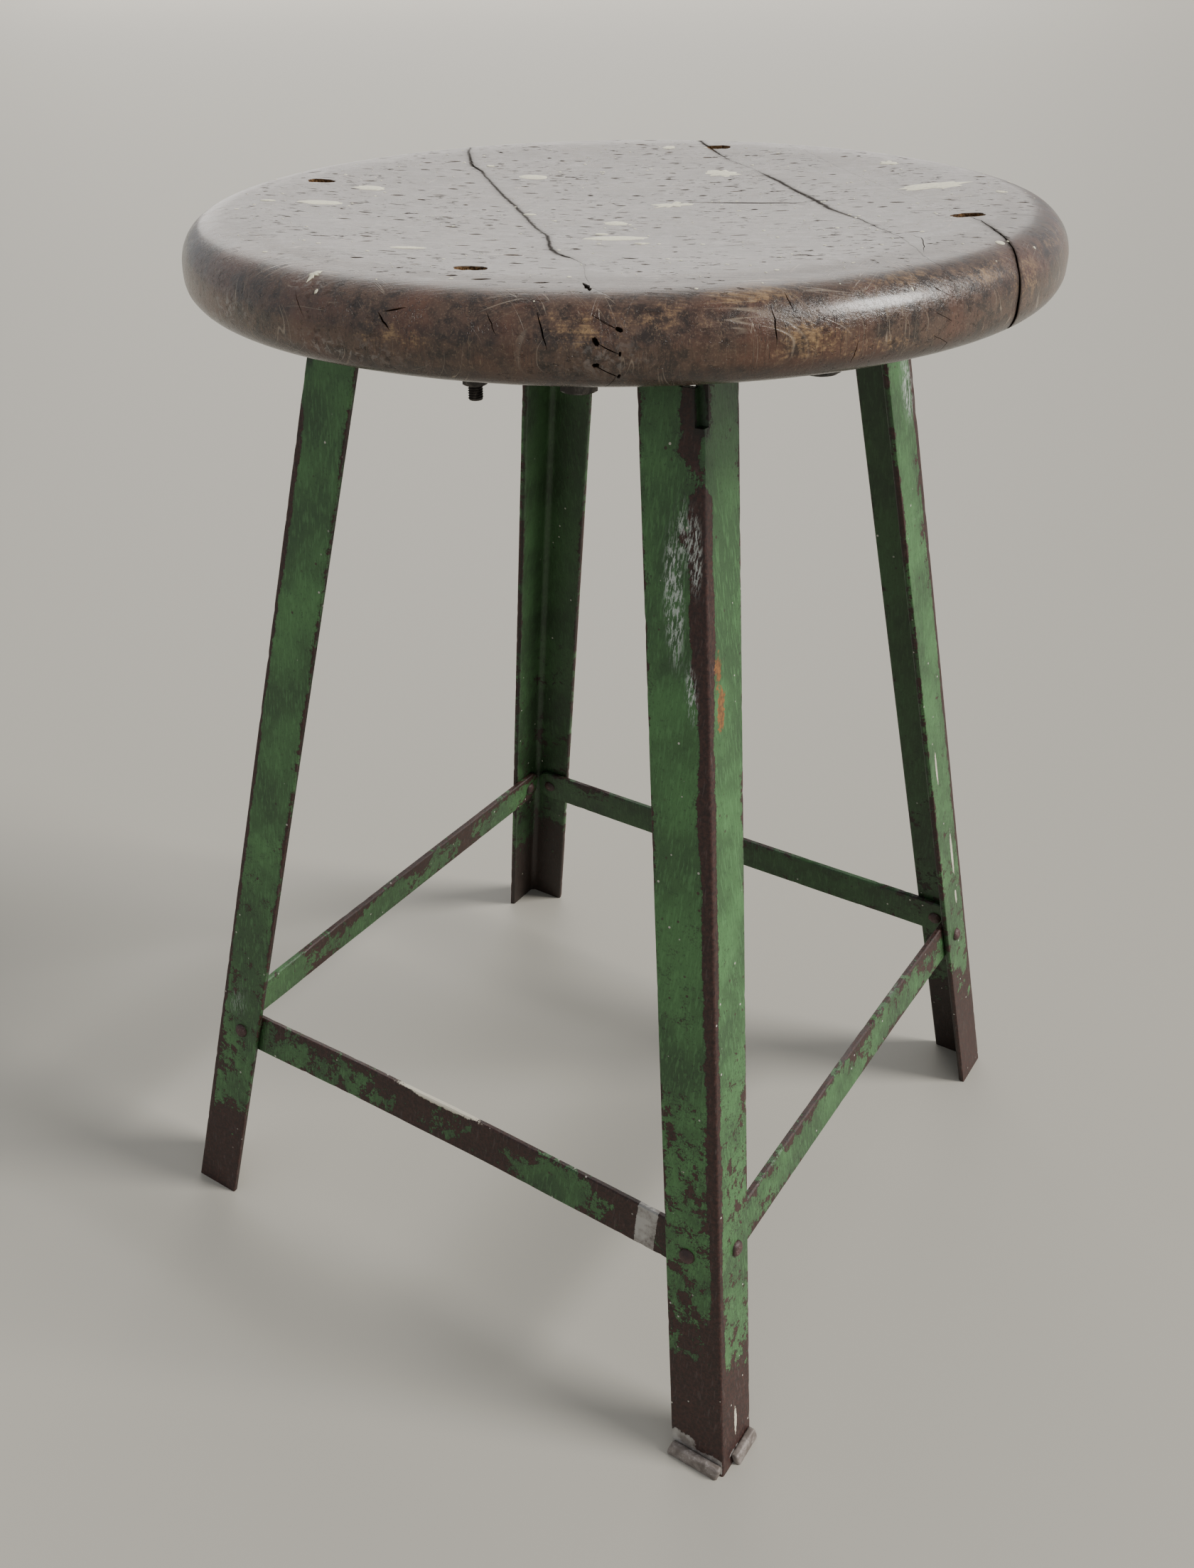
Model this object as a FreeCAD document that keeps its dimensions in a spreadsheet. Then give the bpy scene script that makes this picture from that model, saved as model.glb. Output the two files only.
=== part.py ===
import FreeCAD, Part
import math
import os
import Sketcher

# Workshop stool: a round, dished hardwood seat on four splayed angle-iron legs.
# The legs are tied by four flat-bar stretchers near the floor and hang from a flat
# steel ring that is bolted and screwed to the underside of the seat.
# Frame: millimetres, +Z up, origin on the floor under the centre of the seat.
# The legs stand on the diagonals: leg_front is at +X -Y, leg_right at +X +Y,
# leg_back at -X +Y and leg_left at -X -Y.

Vector = FreeCAD.Vector
doc = FreeCAD.newDocument("workshop_stool")

SIZES = [
    # seat
    ("seat_height", 480, "floor to the crest of the seat"),
    ("seat_diameter", 330, "outside of the rim"),
    ("seat_thickness", 28, "crest to underside"),
    ("seat_dish", 5, "depth of the hollow at the centre"),
    ("crest_round", 16.5, "radius of the rim's upper edge"),
    ("under_round", 8.6, "radius of the rim's lower edge"),
    # the seat's four boards, side by side along the (1, 1) diagonal; the middle one fills the rest
    ("left_board_width", 124, "rim to the first joint, a finger joint"),
    ("narrow_board_width", 37, "second joint, a finger joint, to the third, a plain one"),
    ("right_board_width", 61, "third joint to the rim"),
    ("finger_pitch", 7.4, "height of one finger"),
    ("finger_depth", 6.5, "length of one finger"),
    ("finger_start", 2.9, "underside to the first finger's tip"),
    ("board_overshoot", 7, "how far a joint's outline runs past the seat"),
    # legs, hot-rolled equal angle with its heel outwards
    ("foot_half_span", 158.5, "centre to a leg's outer face at the floor"),
    ("heel_inset", 8.4, "ring's inner edge to a leg's heel, at the seat's underside"),
    ("flange_width", 25, "angle iron"),
    ("flange_thickness", 3, "angle iron"),
    ("root_round", 3, "fillet in the angle's inner corner"),
    ("toe_round", 1.5, "rounding on the inner edge of a flange"),
    ("slit_length", 21, "saw cut that parts the two flanges, down from the ring"),
    ("slit_clearance", 0.4, "saw cut wider than the flange"),
    ("relief_width", 9, "notch beside the saw cut, from the heel"),
    ("relief_length", 9, "notch beside the saw cut, down from the ring"),
    ("tab_length", 18, "flange end folded out flat under the ring"),
    ("fold_round", 2, "radius in the hollow of a folded tab"),
    ("fold_back_round", 0.8, "radius over the back of a folded tab"),
    # flat-bar stretchers riveted to the inner faces of the flanges
    ("stretcher_height", 104, "floor to the middle of the bar"),
    ("stretcher_width", 20, "flat bar"),
    ("stretcher_thickness", 3, "flat bar"),
    ("stretcher_end_round", 7, "corner radius of the bar's ends"),
    ("stretcher_end_clearance", 0.9, "end of one bar to the face of the next"),
    ("rivet_edge", 8, "rivet to the end of the bar"),
    # rivets
    ("rivet_diameter", 4, "shank"),
    ("rivet_head_diameter", 7.5, "domed head"),
    ("rivet_head_height", 2.3, "domed head"),
    ("rivet_flare", 1.4, "countersink where a rivet is flush with the ring"),
    ("tab_rivet_inset", 17, "tab rivet to the heel, along the flange"),
    ("tab_rivet_reach", 10.5, "tab rivet to the flange's outer face"),
    # ring under the seat
    ("ring_inset", 26, "seat's rim to the ring's outer edge"),
    ("ring_width", 30, "flat bar rolled on edge"),
    ("ring_thickness", 4, "flat bar rolled on edge"),
    # four machine bolts down through the seat and the ring
    ("bolt_inset", 9, "ring's outer edge to a bolt"),
    ("bolt_turn", 11, "degrees from +X to the first bolt"),
    ("bolt_diameter", 5, "M5"),
    ("bolt_length", 30, "under the head"),
    ("bolt_head_diameter", 8.5, "cheese head"),
    ("bolt_head_height", 3.3, "cheese head"),
    ("bolt_slot_width", 1.2, "screwdriver slot"),
    ("bolt_slot_depth", 1.8, "screwdriver slot"),
    ("bolt_sink", 12, "crest of the seat to the underside of the head"),
    ("bolt_clearance", 0.25, "radial, round the shank"),
    ("head_clearance", 0.35, "radial, round the head"),
    ("nut_flats", 8, "M5 nut"),
    ("nut_height", 4, "M5 nut"),
    ("washer_diameter", 10, "M5 washer"),
    ("washer_thickness", 1, "M5 washer"),
    # eight hexagon coach screws up through the ring
    ("coach_inset", 14.5, "ring's outer edge to a coach screw"),
    ("coach_tab_clearance", 2.4, "washer to the corner of a leg's tab, across the leg's diagonal"),
    ("coach_diameter", 7, "shank"),
    ("coach_length", 25, "under the head"),
    ("coach_point", 5, "length of the pointed end"),
    ("coach_head_flats", 12, "hexagon"),
    ("coach_head_height", 5, "hexagon"),
    ("coach_washer_diameter", 15, "plain washer"),
    ("coach_washer_thickness", 1.6, "plain washer"),
    # repair strips brazed to the worn foot of the front leg
    ("strip_thickness", 3.5, "out from the flange"),
    ("strip_height", 6, "up from the floor"),
    ("strip_heel_gap_left", 1, "end of the left strip to the heel"),
    ("strip_heel_gap_right", 8, "end of the right strip to the heel"),
    ("strip_round", 1.4, "worn edges"),
]
FINGERS = 4
LARGEST_ROUND = 0.48     # of the thickness that a fillet is cut in, so that two never meet
BOLT_SLOT_TURNS = [25, 70, -40, 10]     # degrees, as each bolt was left
NUT_TURN_STEP = 17       # degrees from one nut to the next
COACH_TURN_STEP = 23     # degrees from one coach screw to the next

WORKED = [
    ("underside", "seat_height - seat_thickness", "height of the seat's underside"),
    ("ring_bottom", "seat_height - seat_thickness - ring_thickness", "height of the ring's lower face"),
    ("joint_a", "left_board_width - seat_diameter / 2", "first joint, from the stool's axis"),
    ("joint_c", "seat_diameter / 2 - right_board_width", "third joint, from the stool's axis"),
    ("joint_b", "seat_diameter / 2 - right_board_width - narrow_board_width", "second joint"),
    ("ring_radius", "seat_diameter / 2 - ring_inset", "the ring's outer edge"),
    ("bolt_circle_radius", "seat_diameter / 2 - ring_inset - bolt_inset", "centre to a bolt"),
    ("coach_circle_radius", "seat_diameter / 2 - ring_inset - coach_inset", "centre to a coach screw"),
    ("top_half_span", "(ring_radius - ring_width + heel_inset) / sqrt(2)",
     "centre to a leg's outer face at the seat's underside"),
    ("lean", "(foot_half_span - top_half_span) / (seat_height - seat_thickness)", "slope of a flange"),
    ("lean_angle", "atan(lean) / 1 deg", "lean of a flange from upright, in degrees"),
    ("level_width", "flange_width / cos(lean_angle)", "flange width in a level section"),
    ("level_thickness", "flange_thickness / cos(lean_angle)", "flange thickness in a level section"),
    ("coach_offset", "(level_width + tab_length) / sqrt(2) + coach_washer_diameter / 2"
                     " + coach_tab_clearance", "leg's diagonal to a coach screw"),
    ("coach_turn", "asin(coach_offset / coach_circle_radius) / 1 deg", "the same, in degrees"),
    ("stretcher_half_span", "foot_half_span - lean * stretcher_height", "heel at the stretchers"),
    ("end_gap", "(flange_thickness + max(stretcher_thickness; root_round)) / cos(lean_angle)"
                " + stretcher_end_clearance", "heel to the end of a stretcher"),
    ("rivet_reach", "stretcher_half_span - end_gap - rivet_edge", "middle of a stretcher to its rivet"),
]


def cell_sheet(name, rows, formula):
    """A sheet with one named cell per row; formula rows refer to the Sizes sheet."""
    sheet = doc.addObject("Spreadsheet::Sheet", name)
    for number, (alias, value, note) in enumerate(rows, start=1):
        sheet.set(f"A{number}", alias)
        sheet.set(f"B{number}", formula(value))
        sheet.setAlias(f"B{number}", alias)
        sheet.set(f"C{number}", note)
    doc.recompute()
    return sheet


SIZE_NAMES = [row[0] for row in SIZES]
WORKED_NAMES = [row[0] for row in WORKED]


def bound(text):
    """Writes the sheet's name before each alias, for use outside the sheets."""
    out = ""
    word = ""
    for letter in text + " ":
        if letter.isalnum() or letter == "_":
            word += letter
            continue
        if word in SIZE_NAMES:
            word = "Sizes." + word
        elif word in WORKED_NAMES:
            word = "Worked." + word
        out += word + letter
        word = ""
    return out.strip()


def worked_cell(text):
    """A formula for the Worked sheet: its own aliases stay as they are."""
    return "=" + bound(text).replace("Worked.", "")


sizes = cell_sheet("Sizes", SIZES, str)
cell_sheet("Worked", WORKED, worked_cell)


def value(text):
    """The number that an expression of aliases has now."""
    result = sizes.evalExpression(bound(text).replace("Sizes.", ""))
    return float(getattr(result, "Value", result))


def bind(obj, prop, text):
    obj.setExpression(prop, bound(text))


# ---------------------------------------------------------------- sketches and bodies

def plane_of(body, role):
    for feature in body.Origin.OriginFeatures:
        if feature.Role == role:
            return feature
    raise ValueError(role)


def new_body(label):
    body = doc.addObject("PartDesign::Body", label)
    body.Label = label
    return body


def body_sketch(body, name, role="XY_Plane", offset="0"):
    """A sketch in a body, on one of its origin planes, raised by an offset."""
    sketch = body.newObject("Sketcher::SketchObject", name)
    sketch.AttachmentSupport = [(plane_of(body, role), "")]
    sketch.MapMode = "FlatFace"
    bind(sketch, "AttachmentOffset.Base.z", offset)
    return sketch


def pin_along(sketch, kind, geometry, point, text):
    """Fixes one coordinate of a sketch's point; kind is DistanceX or DistanceY."""
    index = sketch.addConstraint(Sketcher.Constraint(kind, geometry, point, value(text)))
    bind(sketch, f"Constraints[{index}]", text)


def pin_point(sketch, geometry, point, x, y):
    """Fixes one point of a sketch at coordinates given as expressions."""
    pin_along(sketch, "DistanceX", geometry, point, x)
    pin_along(sketch, "DistanceY", geometry, point, y)


def closed_outline(sketch, corners):
    """A closed outline of straight edges through corners given as expressions."""
    points = [Vector(value(x), value(y), 0) for x, y in corners]
    count = len(points)
    first = sketch.GeometryCount
    for i in range(count):
        sketch.addGeometry(Part.LineSegment(points[i], points[(i + 1) % count]), False)
    for i in range(count):
        following = first + (i + 1) % count
        sketch.addConstraint(Sketcher.Constraint("Coincident", first + i, 2, following, 1))
        pin_point(sketch, first + i, 1, *corners[i])


def circle(sketch, x, y, radius):
    centre = Vector(value(x), value(y), 0)
    index = sketch.addGeometry(Part.Circle(centre, Vector(0, 0, 1), value(radius)), False)
    pin_point(sketch, index, 3, x, y)
    size = sketch.addConstraint(Sketcher.Constraint("Radius", index, value(radius)))
    bind(sketch, f"Constraints[{size}]", radius)


def polar(radius, angle):
    """Coordinates of a point on a circle round the stool's axis."""
    return f"({radius}) * cos({angle})", f"({radius}) * sin({angle})"


def pad(body, name, sketch, length, lean=None):
    feature = body.newObject("PartDesign::Pad", name)
    feature.Profile = sketch
    if lean:
        feature.UseCustomVector = True
        feature.AlongSketchNormal = True
        feature.Direction = Vector(value(lean[0]), value(lean[1]), 1)
        bind(feature, "Direction.x", lean[0])
        bind(feature, "Direction.y", lean[1])
    bind(feature, "Length", length)
    doc.recompute()
    return feature


def pocket(body, name, sketch, length=None, upwards=False, lean=None):
    """A cut from a sketch, through everything unless a length is given.

    A lean cut runs along its own direction, which points up."""
    before = body.Tip.Shape.Volume
    feature = body.newObject("PartDesign::Pocket", name)
    feature.Profile = sketch
    if lean:
        feature.UseCustomVector = True
        feature.AlongSketchNormal = True
        feature.Direction = Vector(value(lean[0]), value(lean[1]), 1)
        bind(feature, "Direction.x", lean[0])
        bind(feature, "Direction.y", lean[1])
    if length:
        bind(feature, "Length", length)
    else:
        feature.Type = "ThroughAll"
    feature.Reversed = upwards
    doc.recompute()
    if feature.Shape.Volume >= before:
        raise ValueError(f"{body.Label} {name} cuts nothing")
    return feature


def edge_between(shape, ends, tolerance=0.05):
    """Name of the straight edge that runs from one point to the other."""
    for number, edge in enumerate(shape.Edges, start=1):
        if not isinstance(edge.Curve, Part.Line):
            continue
        found = [vertex.Point for vertex in edge.Vertexes]
        if all(any((point - end).Length < tolerance for point in found) for end in ends):
            return f"Edge{number}"
    raise ValueError(f"no edge between {ends}")


def fillet(body, name, edges, radius):
    base = body.Tip
    feature = body.newObject("PartDesign::Fillet", name)
    feature.Base = (base, edges)
    bind(feature, "Radius", radius)
    doc.recompute()
    return feature


def revolve(body, name, sketch):
    """A full turn of a sketch on the XZ plane about the body's Z axis."""
    feature = body.newObject("PartDesign::Revolution", name)
    feature.Profile = sketch
    feature.ReferenceAxis = (sketch, ["V_Axis"])
    feature.Angle = 360
    doc.recompute()
    return feature


def place(obj, x, y, z, turn="0", tilt="0"):
    """Placement: tilt about X, then a turn about the stool's axis, then a shift."""
    turned = f"rotation(vector(0; 0; 1); {turn}) * rotation(vector(1; 0; 0); {tilt})"
    bind(obj, "Placement", f"placement(vector({x}; {y}; {z}); {turned})")


# --------------------------------------------------------------------------- seat

def tangent_arc(sketch, centre, start, end, sweep_up):
    """An arc of a circle from start to end, anticlockwise when sweep_up is true."""
    radius = (start - centre).Length
    angles = [math.atan2(p.y - centre.y, p.x - centre.x) for p in (start, end)]
    if not sweep_up:
        angles.reverse()
    full = Part.Circle(centre, Vector(0, 0, 1), radius)
    return sketch.addGeometry(Part.ArcOfCircle(full, angles[0], angles[1]), False)


def seat_profile(sketch):
    """Half section of the seat: dished top, round crest, upright rim, eased underside."""
    reach = value("seat_diameter / 2 - crest_round")
    dish = value("seat_dish")
    top = value("seat_height")
    bottom = value("underside")
    rim = value("seat_diameter / 2")
    crest = value("crest_round")
    ease = value("under_round")
    # the dish and the crest are tangent arcs, so the line through their centres
    # passes through the point where they meet
    between = (reach ** 2 + dish ** 2) / (2 * dish)
    dish_centre = Vector(0, top - dish + between - crest, 0)
    crest_centre = Vector(reach, top - crest, 0)
    meet = crest_centre + (dish_centre - crest_centre).normalize() * crest
    middle = Vector(0, top - dish, 0)
    rim_top = Vector(rim, top - crest, 0)
    rim_low = Vector(rim, bottom + ease, 0)
    foot = Vector(rim - ease, bottom, 0)
    base = Vector(0, bottom, 0)
    hollow = tangent_arc(sketch, dish_centre, middle, meet, True)
    nose = tangent_arc(sketch, crest_centre, rim_top, meet, True)
    side = sketch.addGeometry(Part.LineSegment(rim_top, rim_low), False)
    lower = tangent_arc(sketch, Vector(rim - ease, bottom + ease, 0), foot, rim_low, True)
    floor = sketch.addGeometry(Part.LineSegment(foot, base), False)
    axis = sketch.addGeometry(Part.LineSegment(base, middle), False)
    joins = [(nose, 1, side, 1), (side, 2, lower, 2), (lower, 1, floor, 1),
             (floor, 2, axis, 1), (axis, 2, hollow, 1)]
    for one, one_end, other, other_end in joins:
        sketch.addConstraint(Sketcher.Constraint("Coincident", one, one_end, other, other_end))
    pin_point(sketch, axis, 2, "0", "seat_height - seat_dish")
    pin_point(sketch, axis, 1, "0", "underside")
    pin_point(sketch, nose, 3, "seat_diameter / 2 - crest_round", "seat_height - crest_round")
    pin_point(sketch, side, 1, "seat_diameter / 2", "seat_height - crest_round")
    pin_point(sketch, lower, 3, "seat_diameter / 2 - under_round", "underside + under_round")
    pin_point(sketch, floor, 1, "seat_diameter / 2 - under_round", "underside")
    pin_along(sketch, "DistanceY", side, 2, "underside + under_round")
    pin_along(sketch, "DistanceX", hollow, 3, "0")
    sketch.addConstraint(Sketcher.Constraint("Tangent", hollow, 2, nose, 2))


# above the seat and above the last finger, whichever is higher
OUTLINE_TOP = f"max(seat_height; underside + finger_start + {FINGERS} * finger_pitch) + board_overshoot"


def bolt_angle(number):
    return f"(bolt_turn + {90 * number})"


def coach_angles():
    """Angles of the eight coach screws, one either side of each leg's diagonal."""
    return [f"({45 + 90 * quarter} {side} coach_turn)" for quarter in range(4) for side in "-+"]


def make_seat_blank():
    """The turned seat in one piece, with every hole, before it is parted into boards."""
    blank = new_body("seat_blank")
    profile = body_sketch(blank, "seat_profile", "XZ_Plane")
    seat_profile(profile)
    revolve(blank, "turned_seat", profile)

    heads = body_sketch(blank, "head_wells", offset="seat_height")
    shanks = body_sketch(blank, "shank_holes", offset="seat_height")
    for number in range(4):
        spot = polar("bolt_circle_radius", bolt_angle(number))
        circle(heads, *spot, "bolt_head_diameter / 2 + head_clearance")
        circle(shanks, *spot, "bolt_diameter / 2 + bolt_clearance")
    pocket(blank, "sink_heads", heads, "bolt_sink")
    pocket(blank, "drill_through", shanks)

    pilots = body_sketch(blank, "pilot_holes", offset="underside")
    for angle in coach_angles():
        circle(pilots, *polar("coach_circle_radius", angle), "coach_diameter / 2")
    pocket(blank, "drill_pilots", pilots,
           "coach_length - coach_washer_thickness - ring_thickness", upwards=True)
    return blank


def finger_line(joint):
    """A finger joint from below the seat to above it, as (across, height) corners."""
    corners = [(joint, "underside - board_overshoot"), (joint, "underside")]
    for half in range(2 * FINGERS):
        across = joint if half % 2 else f"{joint} + finger_depth"
        corners.append((across, f"underside + finger_start + {half} * finger_pitch / 2"))
    corners.append((joint, OUTLINE_TOP))
    return corners


def straight_line(across):
    """A plain joint, or the outside of the outer boards."""
    return [(across, "underside - board_overshoot"), (across, OUTLINE_TOP)]


def make_seat_boards(blank):
    """Parts the seat blank into four boards along its three glued joints."""
    lines = [straight_line("-seat_diameter"), finger_line("joint_a"), finger_line("joint_b"),
             straight_line("joint_c"), straight_line("seat_diameter")]
    names = ["seat_board_left", "seat_board_middle", "seat_board_narrow", "seat_board_right"]
    boards = []
    for number, name in enumerate(names):
        outline = doc.addObject("Sketcher::SketchObject", name + "_outline")
        closed_outline(outline, lines[number] + lines[number + 1][::-1])
        turned = FreeCAD.Rotation(Vector(0, 0, 1), 45) * FreeCAD.Rotation(Vector(1, 0, 0), 90)
        outline.Placement = FreeCAD.Placement(Vector(0, 0, 0), turned)
        slab = doc.addObject("Part::Extrusion", name + "_slab")
        slab.Base = outline
        slab.DirMode = "Normal"
        slab.Solid = True
        slab.Symmetric = True
        bind(slab, "LengthFwd", "2 * seat_diameter")
        board = doc.addObject("Part::Common", name)
        board.Label = name
        board.Base = blank
        board.Tool = slab
        boards.append(board)
    doc.recompute()
    return boards


# --------------------------------------------------------------------------- legs

def heel_at(height):
    """Heel of the front leg at a height, as (x, y) expressions."""
    span = f"(foot_half_span - lean * ({height}))"
    return span, f"-{span}"


def leg_point(height, from_heel_x, from_heel_y):
    """A point of the front leg, measured in from its heel at that height."""
    x, y = heel_at(height)
    return Vector(value(x) - value(from_heel_x), value(y) + value(from_heel_y), value(height))


def make_leg(label, turn):
    """An angle-iron leg, drawn as the front leg and turned to its own corner.

    The angle is sawn down its heel at the top and its two flange ends are folded
    out flat, where they are riveted to the ring."""
    leg = new_body(label)
    lean = ("-lean", "lean")

    section = body_sketch(leg, label + "_section")
    x, y = heel_at("0")
    closed_outline(section, [
        (x, y),
        (x, f"{y} + level_width"),
        (f"{x} - level_thickness", f"{y} + level_width"),
        (f"{x} - level_thickness", f"{y} + level_thickness"),
        (f"{x} - level_width", f"{y} + level_thickness"),
        (f"{x} - level_width", y)])
    bar = pad(leg, label + "_bar", section, "ring_bottom", lean)

    def up_the_leg(across, along):
        return edge_between(bar.Shape, [leg_point("0", across, along),
                                        leg_point("ring_bottom", across, along)])

    root = up_the_leg("level_thickness", "level_thickness")
    fillet(leg, label + "_root", [root], "root_round")
    rounded = leg.Tip.Shape
    toes = [edge_between(rounded, [leg_point("0", *corner), leg_point("ring_bottom", *corner)])
            for corner in (("level_width", "level_thickness"), ("level_thickness", "level_width"))]
    fillet(leg, label + "_toes", toes, f"min(toe_round; flange_thickness * {LARGEST_ROUND + 0.1})")

    cut = body_sketch(leg, label + "_slit_square", offset="ring_bottom - slit_length")
    x, y = heel_at("ring_bottom - slit_length")
    outer = "flange_thickness"
    inner = "(level_thickness + slit_clearance)"
    closed_outline(cut, [
        (f"{x} + {outer}", f"{y} - {outer}"), (f"{x} + {outer}", f"{y} + {inner}"),
        (f"{x} - {inner}", f"{y} + {inner}"), (f"{x} - {inner}", f"{y} - {outer}")])
    pocket(leg, label + "_slit", cut, "2 * slit_length", lean=lean)

    notch = body_sketch(leg, label + "_relief_square", offset="ring_bottom - relief_length")
    x, y = heel_at("ring_bottom - relief_length")
    closed_outline(notch, [
        (f"{x} + {outer}", f"{y} - {outer}"), (f"{x} + {outer}", f"{y} + {inner}"),
        (f"{x} - relief_width", f"{y} + {inner}"), (f"{x} - relief_width", f"{y} - {outer}")])
    pocket(leg, label + "_relief", notch, "2 * relief_length", lean=lean)

    tabs = body_sketch(leg, label + "_tab_outlines", offset="ring_bottom - flange_thickness")
    x, y = heel_at("ring_bottom")
    overlap = "level_thickness / 2"
    closed_outline(tabs, [
        (f"{x} - level_width", f"{y} - tab_length"), (f"{x} - relief_width", f"{y} - tab_length"),
        (f"{x} - relief_width", f"{y} + {overlap}"), (f"{x} - level_width", f"{y} + {overlap}")])
    closed_outline(tabs, [
        (f"{x} - {overlap}", f"{y} + {inner}"), (f"{x} + tab_length", f"{y} + {inner}"),
        (f"{x} + tab_length", f"{y} + level_width"), (f"{x} - {overlap}", f"{y} + level_width")])
    pad(leg, label + "_tabs", tabs, "flange_thickness")
    under = ("ring_bottom - flange_thickness", "0")
    fillet(leg, label + "_fold_hollows", fold_edges(leg.Tip.Shape, *under), "fold_round")
    over = ("ring_bottom", "level_thickness")
    fillet(leg, label + "_fold_backs", fold_edges(leg.Tip.Shape, *over), "fold_back_round")

    holes = body_sketch(leg, label + "_tab_holes", offset="ring_bottom")
    for spot in tab_rivet_spots():
        circle(holes, *spot, "rivet_diameter / 2")
    pocket(leg, label + "_tab_drilling", holes, "2 * flange_thickness")

    out = "(stretcher_half_span + flange_thickness * cos(lean_angle))"
    height = "stretcher_height + flange_thickness * sin(lean_angle)"
    for face, x, y, tilt_turn in (("left", "rivet_reach", f"-{out}", 0), ("right", out, "-rivet_reach", 90)):
        before = leg.Tip.Shape.Volume
        hole = leg.newObject("PartDesign::SubtractiveCylinder", f"{label}_{face}_rivet_hole")
        bind(hole, "Radius", "rivet_diameter / 2")
        bind(hole, "Height", "4 * flange_thickness")
        place(hole, x, y, height, str(tilt_turn), "-90 - lean_angle")
        doc.recompute()
        if hole.Shape.Volume >= before:
            raise ValueError(f"{label} {face} rivet hole cuts nothing")
    place(leg, "0", "0", "0", str(turn))
    return leg


def fold_edges(shape, height, inset):
    """The front leg's two edges at a height, this far in from its outer faces."""
    level = value(height)
    span = value(f"{heel_at(height)[0]} - {inset}")
    names = []
    for number, edge in enumerate(shape.Edges, start=1):
        ends = [vertex.Point for vertex in edge.Vertexes]
        on_left = all(abs(end.z - level) < 0.01 and abs(end.y + span) < 0.01 for end in ends)
        on_right = all(abs(end.z - level) < 0.01 and abs(end.x - span) < 0.01 for end in ends)
        if on_left or on_right:
            names.append(f"Edge{number}")
    return names


def tab_rivet_spots():
    """The front leg's two tab rivets, mirror images in the leg's diagonal."""
    x, y = heel_at("ring_bottom")
    return [(f"({x} - tab_rivet_inset)", f"({y} - tab_rivet_reach)"),
            (f"({x} + tab_rivet_reach)", f"({y} + tab_rivet_inset)")]


def make_foot_strips():
    """Two strips brazed to the outer faces of the front leg's worn foot."""
    x, y = heel_at("0")
    left = [(f"{x} - level_width", f"{y} - strip_thickness"),
            (f"{x} - strip_heel_gap_left", f"{y} - strip_thickness"),
            (f"{x} - strip_heel_gap_left", y), (f"{x} - level_width", y)]
    right = [(x, f"{y} + strip_heel_gap_right"),
             (f"{x} + strip_thickness", f"{y} + strip_heel_gap_right"),
             (f"{x} + strip_thickness", f"{y} + level_width"), (x, f"{y} + level_width")]
    strips = []
    for label, outline, outer in (("foot_strip_left", left, (0, 1)), ("foot_strip_right", right, (1, 2))):
        strip = new_body(label)
        sketch = body_sketch(strip, label + "_outline")
        closed_outline(sketch, outline)
        bar = pad(strip, label + "_bar", sketch, "strip_height", ("-lean", "lean"))
        # the two upright outer corners and the upper outer edge are worn round
        rise = Vector(-value("lean"), value("lean"), 1) * value("strip_height")
        low = [Vector(value(outline[i][0]), value(outline[i][1]), 0) for i in outer]
        high = [point + rise for point in low]
        worn = [[low[0], high[0]], [low[1], high[1]], high]
        edges = [edge_between(bar.Shape, ends) for ends in worn]
        fillet(strip, label + "_wear", edges, f"min(strip_round; strip_thickness * {LARGEST_ROUND})")
        strips.append(strip)
    return strips


# ---------------------------------------------------------------- stretchers and rivets

def make_stretcher(label, turn):
    """A flat bar against the inner faces of two neighbouring legs' flanges."""
    bar = new_body(label)
    half = "(rivet_reach + rivet_edge)"
    rise = "stretcher_width / 2"
    outline = body_sketch(bar, label + "_outline", "XZ_Plane")
    closed_outline(outline, [(f"-{half}", f"-{rise}"), (half, f"-{rise}"),
                             (half, rise), (f"-{half}", rise)])
    # the sketch faces -Y, and the bar lies on the +Y side of the flange
    slab = pad(bar, label + "_flat", outline, "stretcher_thickness")
    x = value(half)
    z = value(rise)
    ends = [slab.Shape.BoundBox.YMin, slab.Shape.BoundBox.YMax]
    corners = [edge_between(slab.Shape, [Vector(side * x, end, level * z) for end in ends])
               for side in (-1, 1) for level in (-1, 1)]
    fillet(bar, label + "_ends", corners, f"min(stretcher_end_round; stretcher_width * {LARGEST_ROUND})")
    holes = body_sketch(bar, label + "_holes", "XZ_Plane")
    circle(holes, "-rivet_reach", "0", "rivet_diameter / 2")
    circle(holes, "rivet_reach", "0", "rivet_diameter / 2")
    pocket(bar, label + "_drilling", holes, "2 * stretcher_thickness", upwards=True)
    inward = "(flange_thickness + stretcher_thickness)"
    side_place(bar, turn, "0", inward)
    return bar


def side_place(obj, turn, across, inward):
    """Places an object on one side of the stool, in the tilted plane of its flanges.

    across is along the stretcher, inward is from the flanges' outer face."""
    back = f"(stretcher_half_span - ({inward}) * cos(lean_angle))"
    x = f"({across}) * cos({turn}) + {back} * sin({turn})"
    y = f"({across}) * sin({turn}) - {back} * cos({turn})"
    z = f"stretcher_height - ({inward}) * sin(lean_angle)"
    place(obj, x, y, z, str(turn), "-lean_angle")


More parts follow.
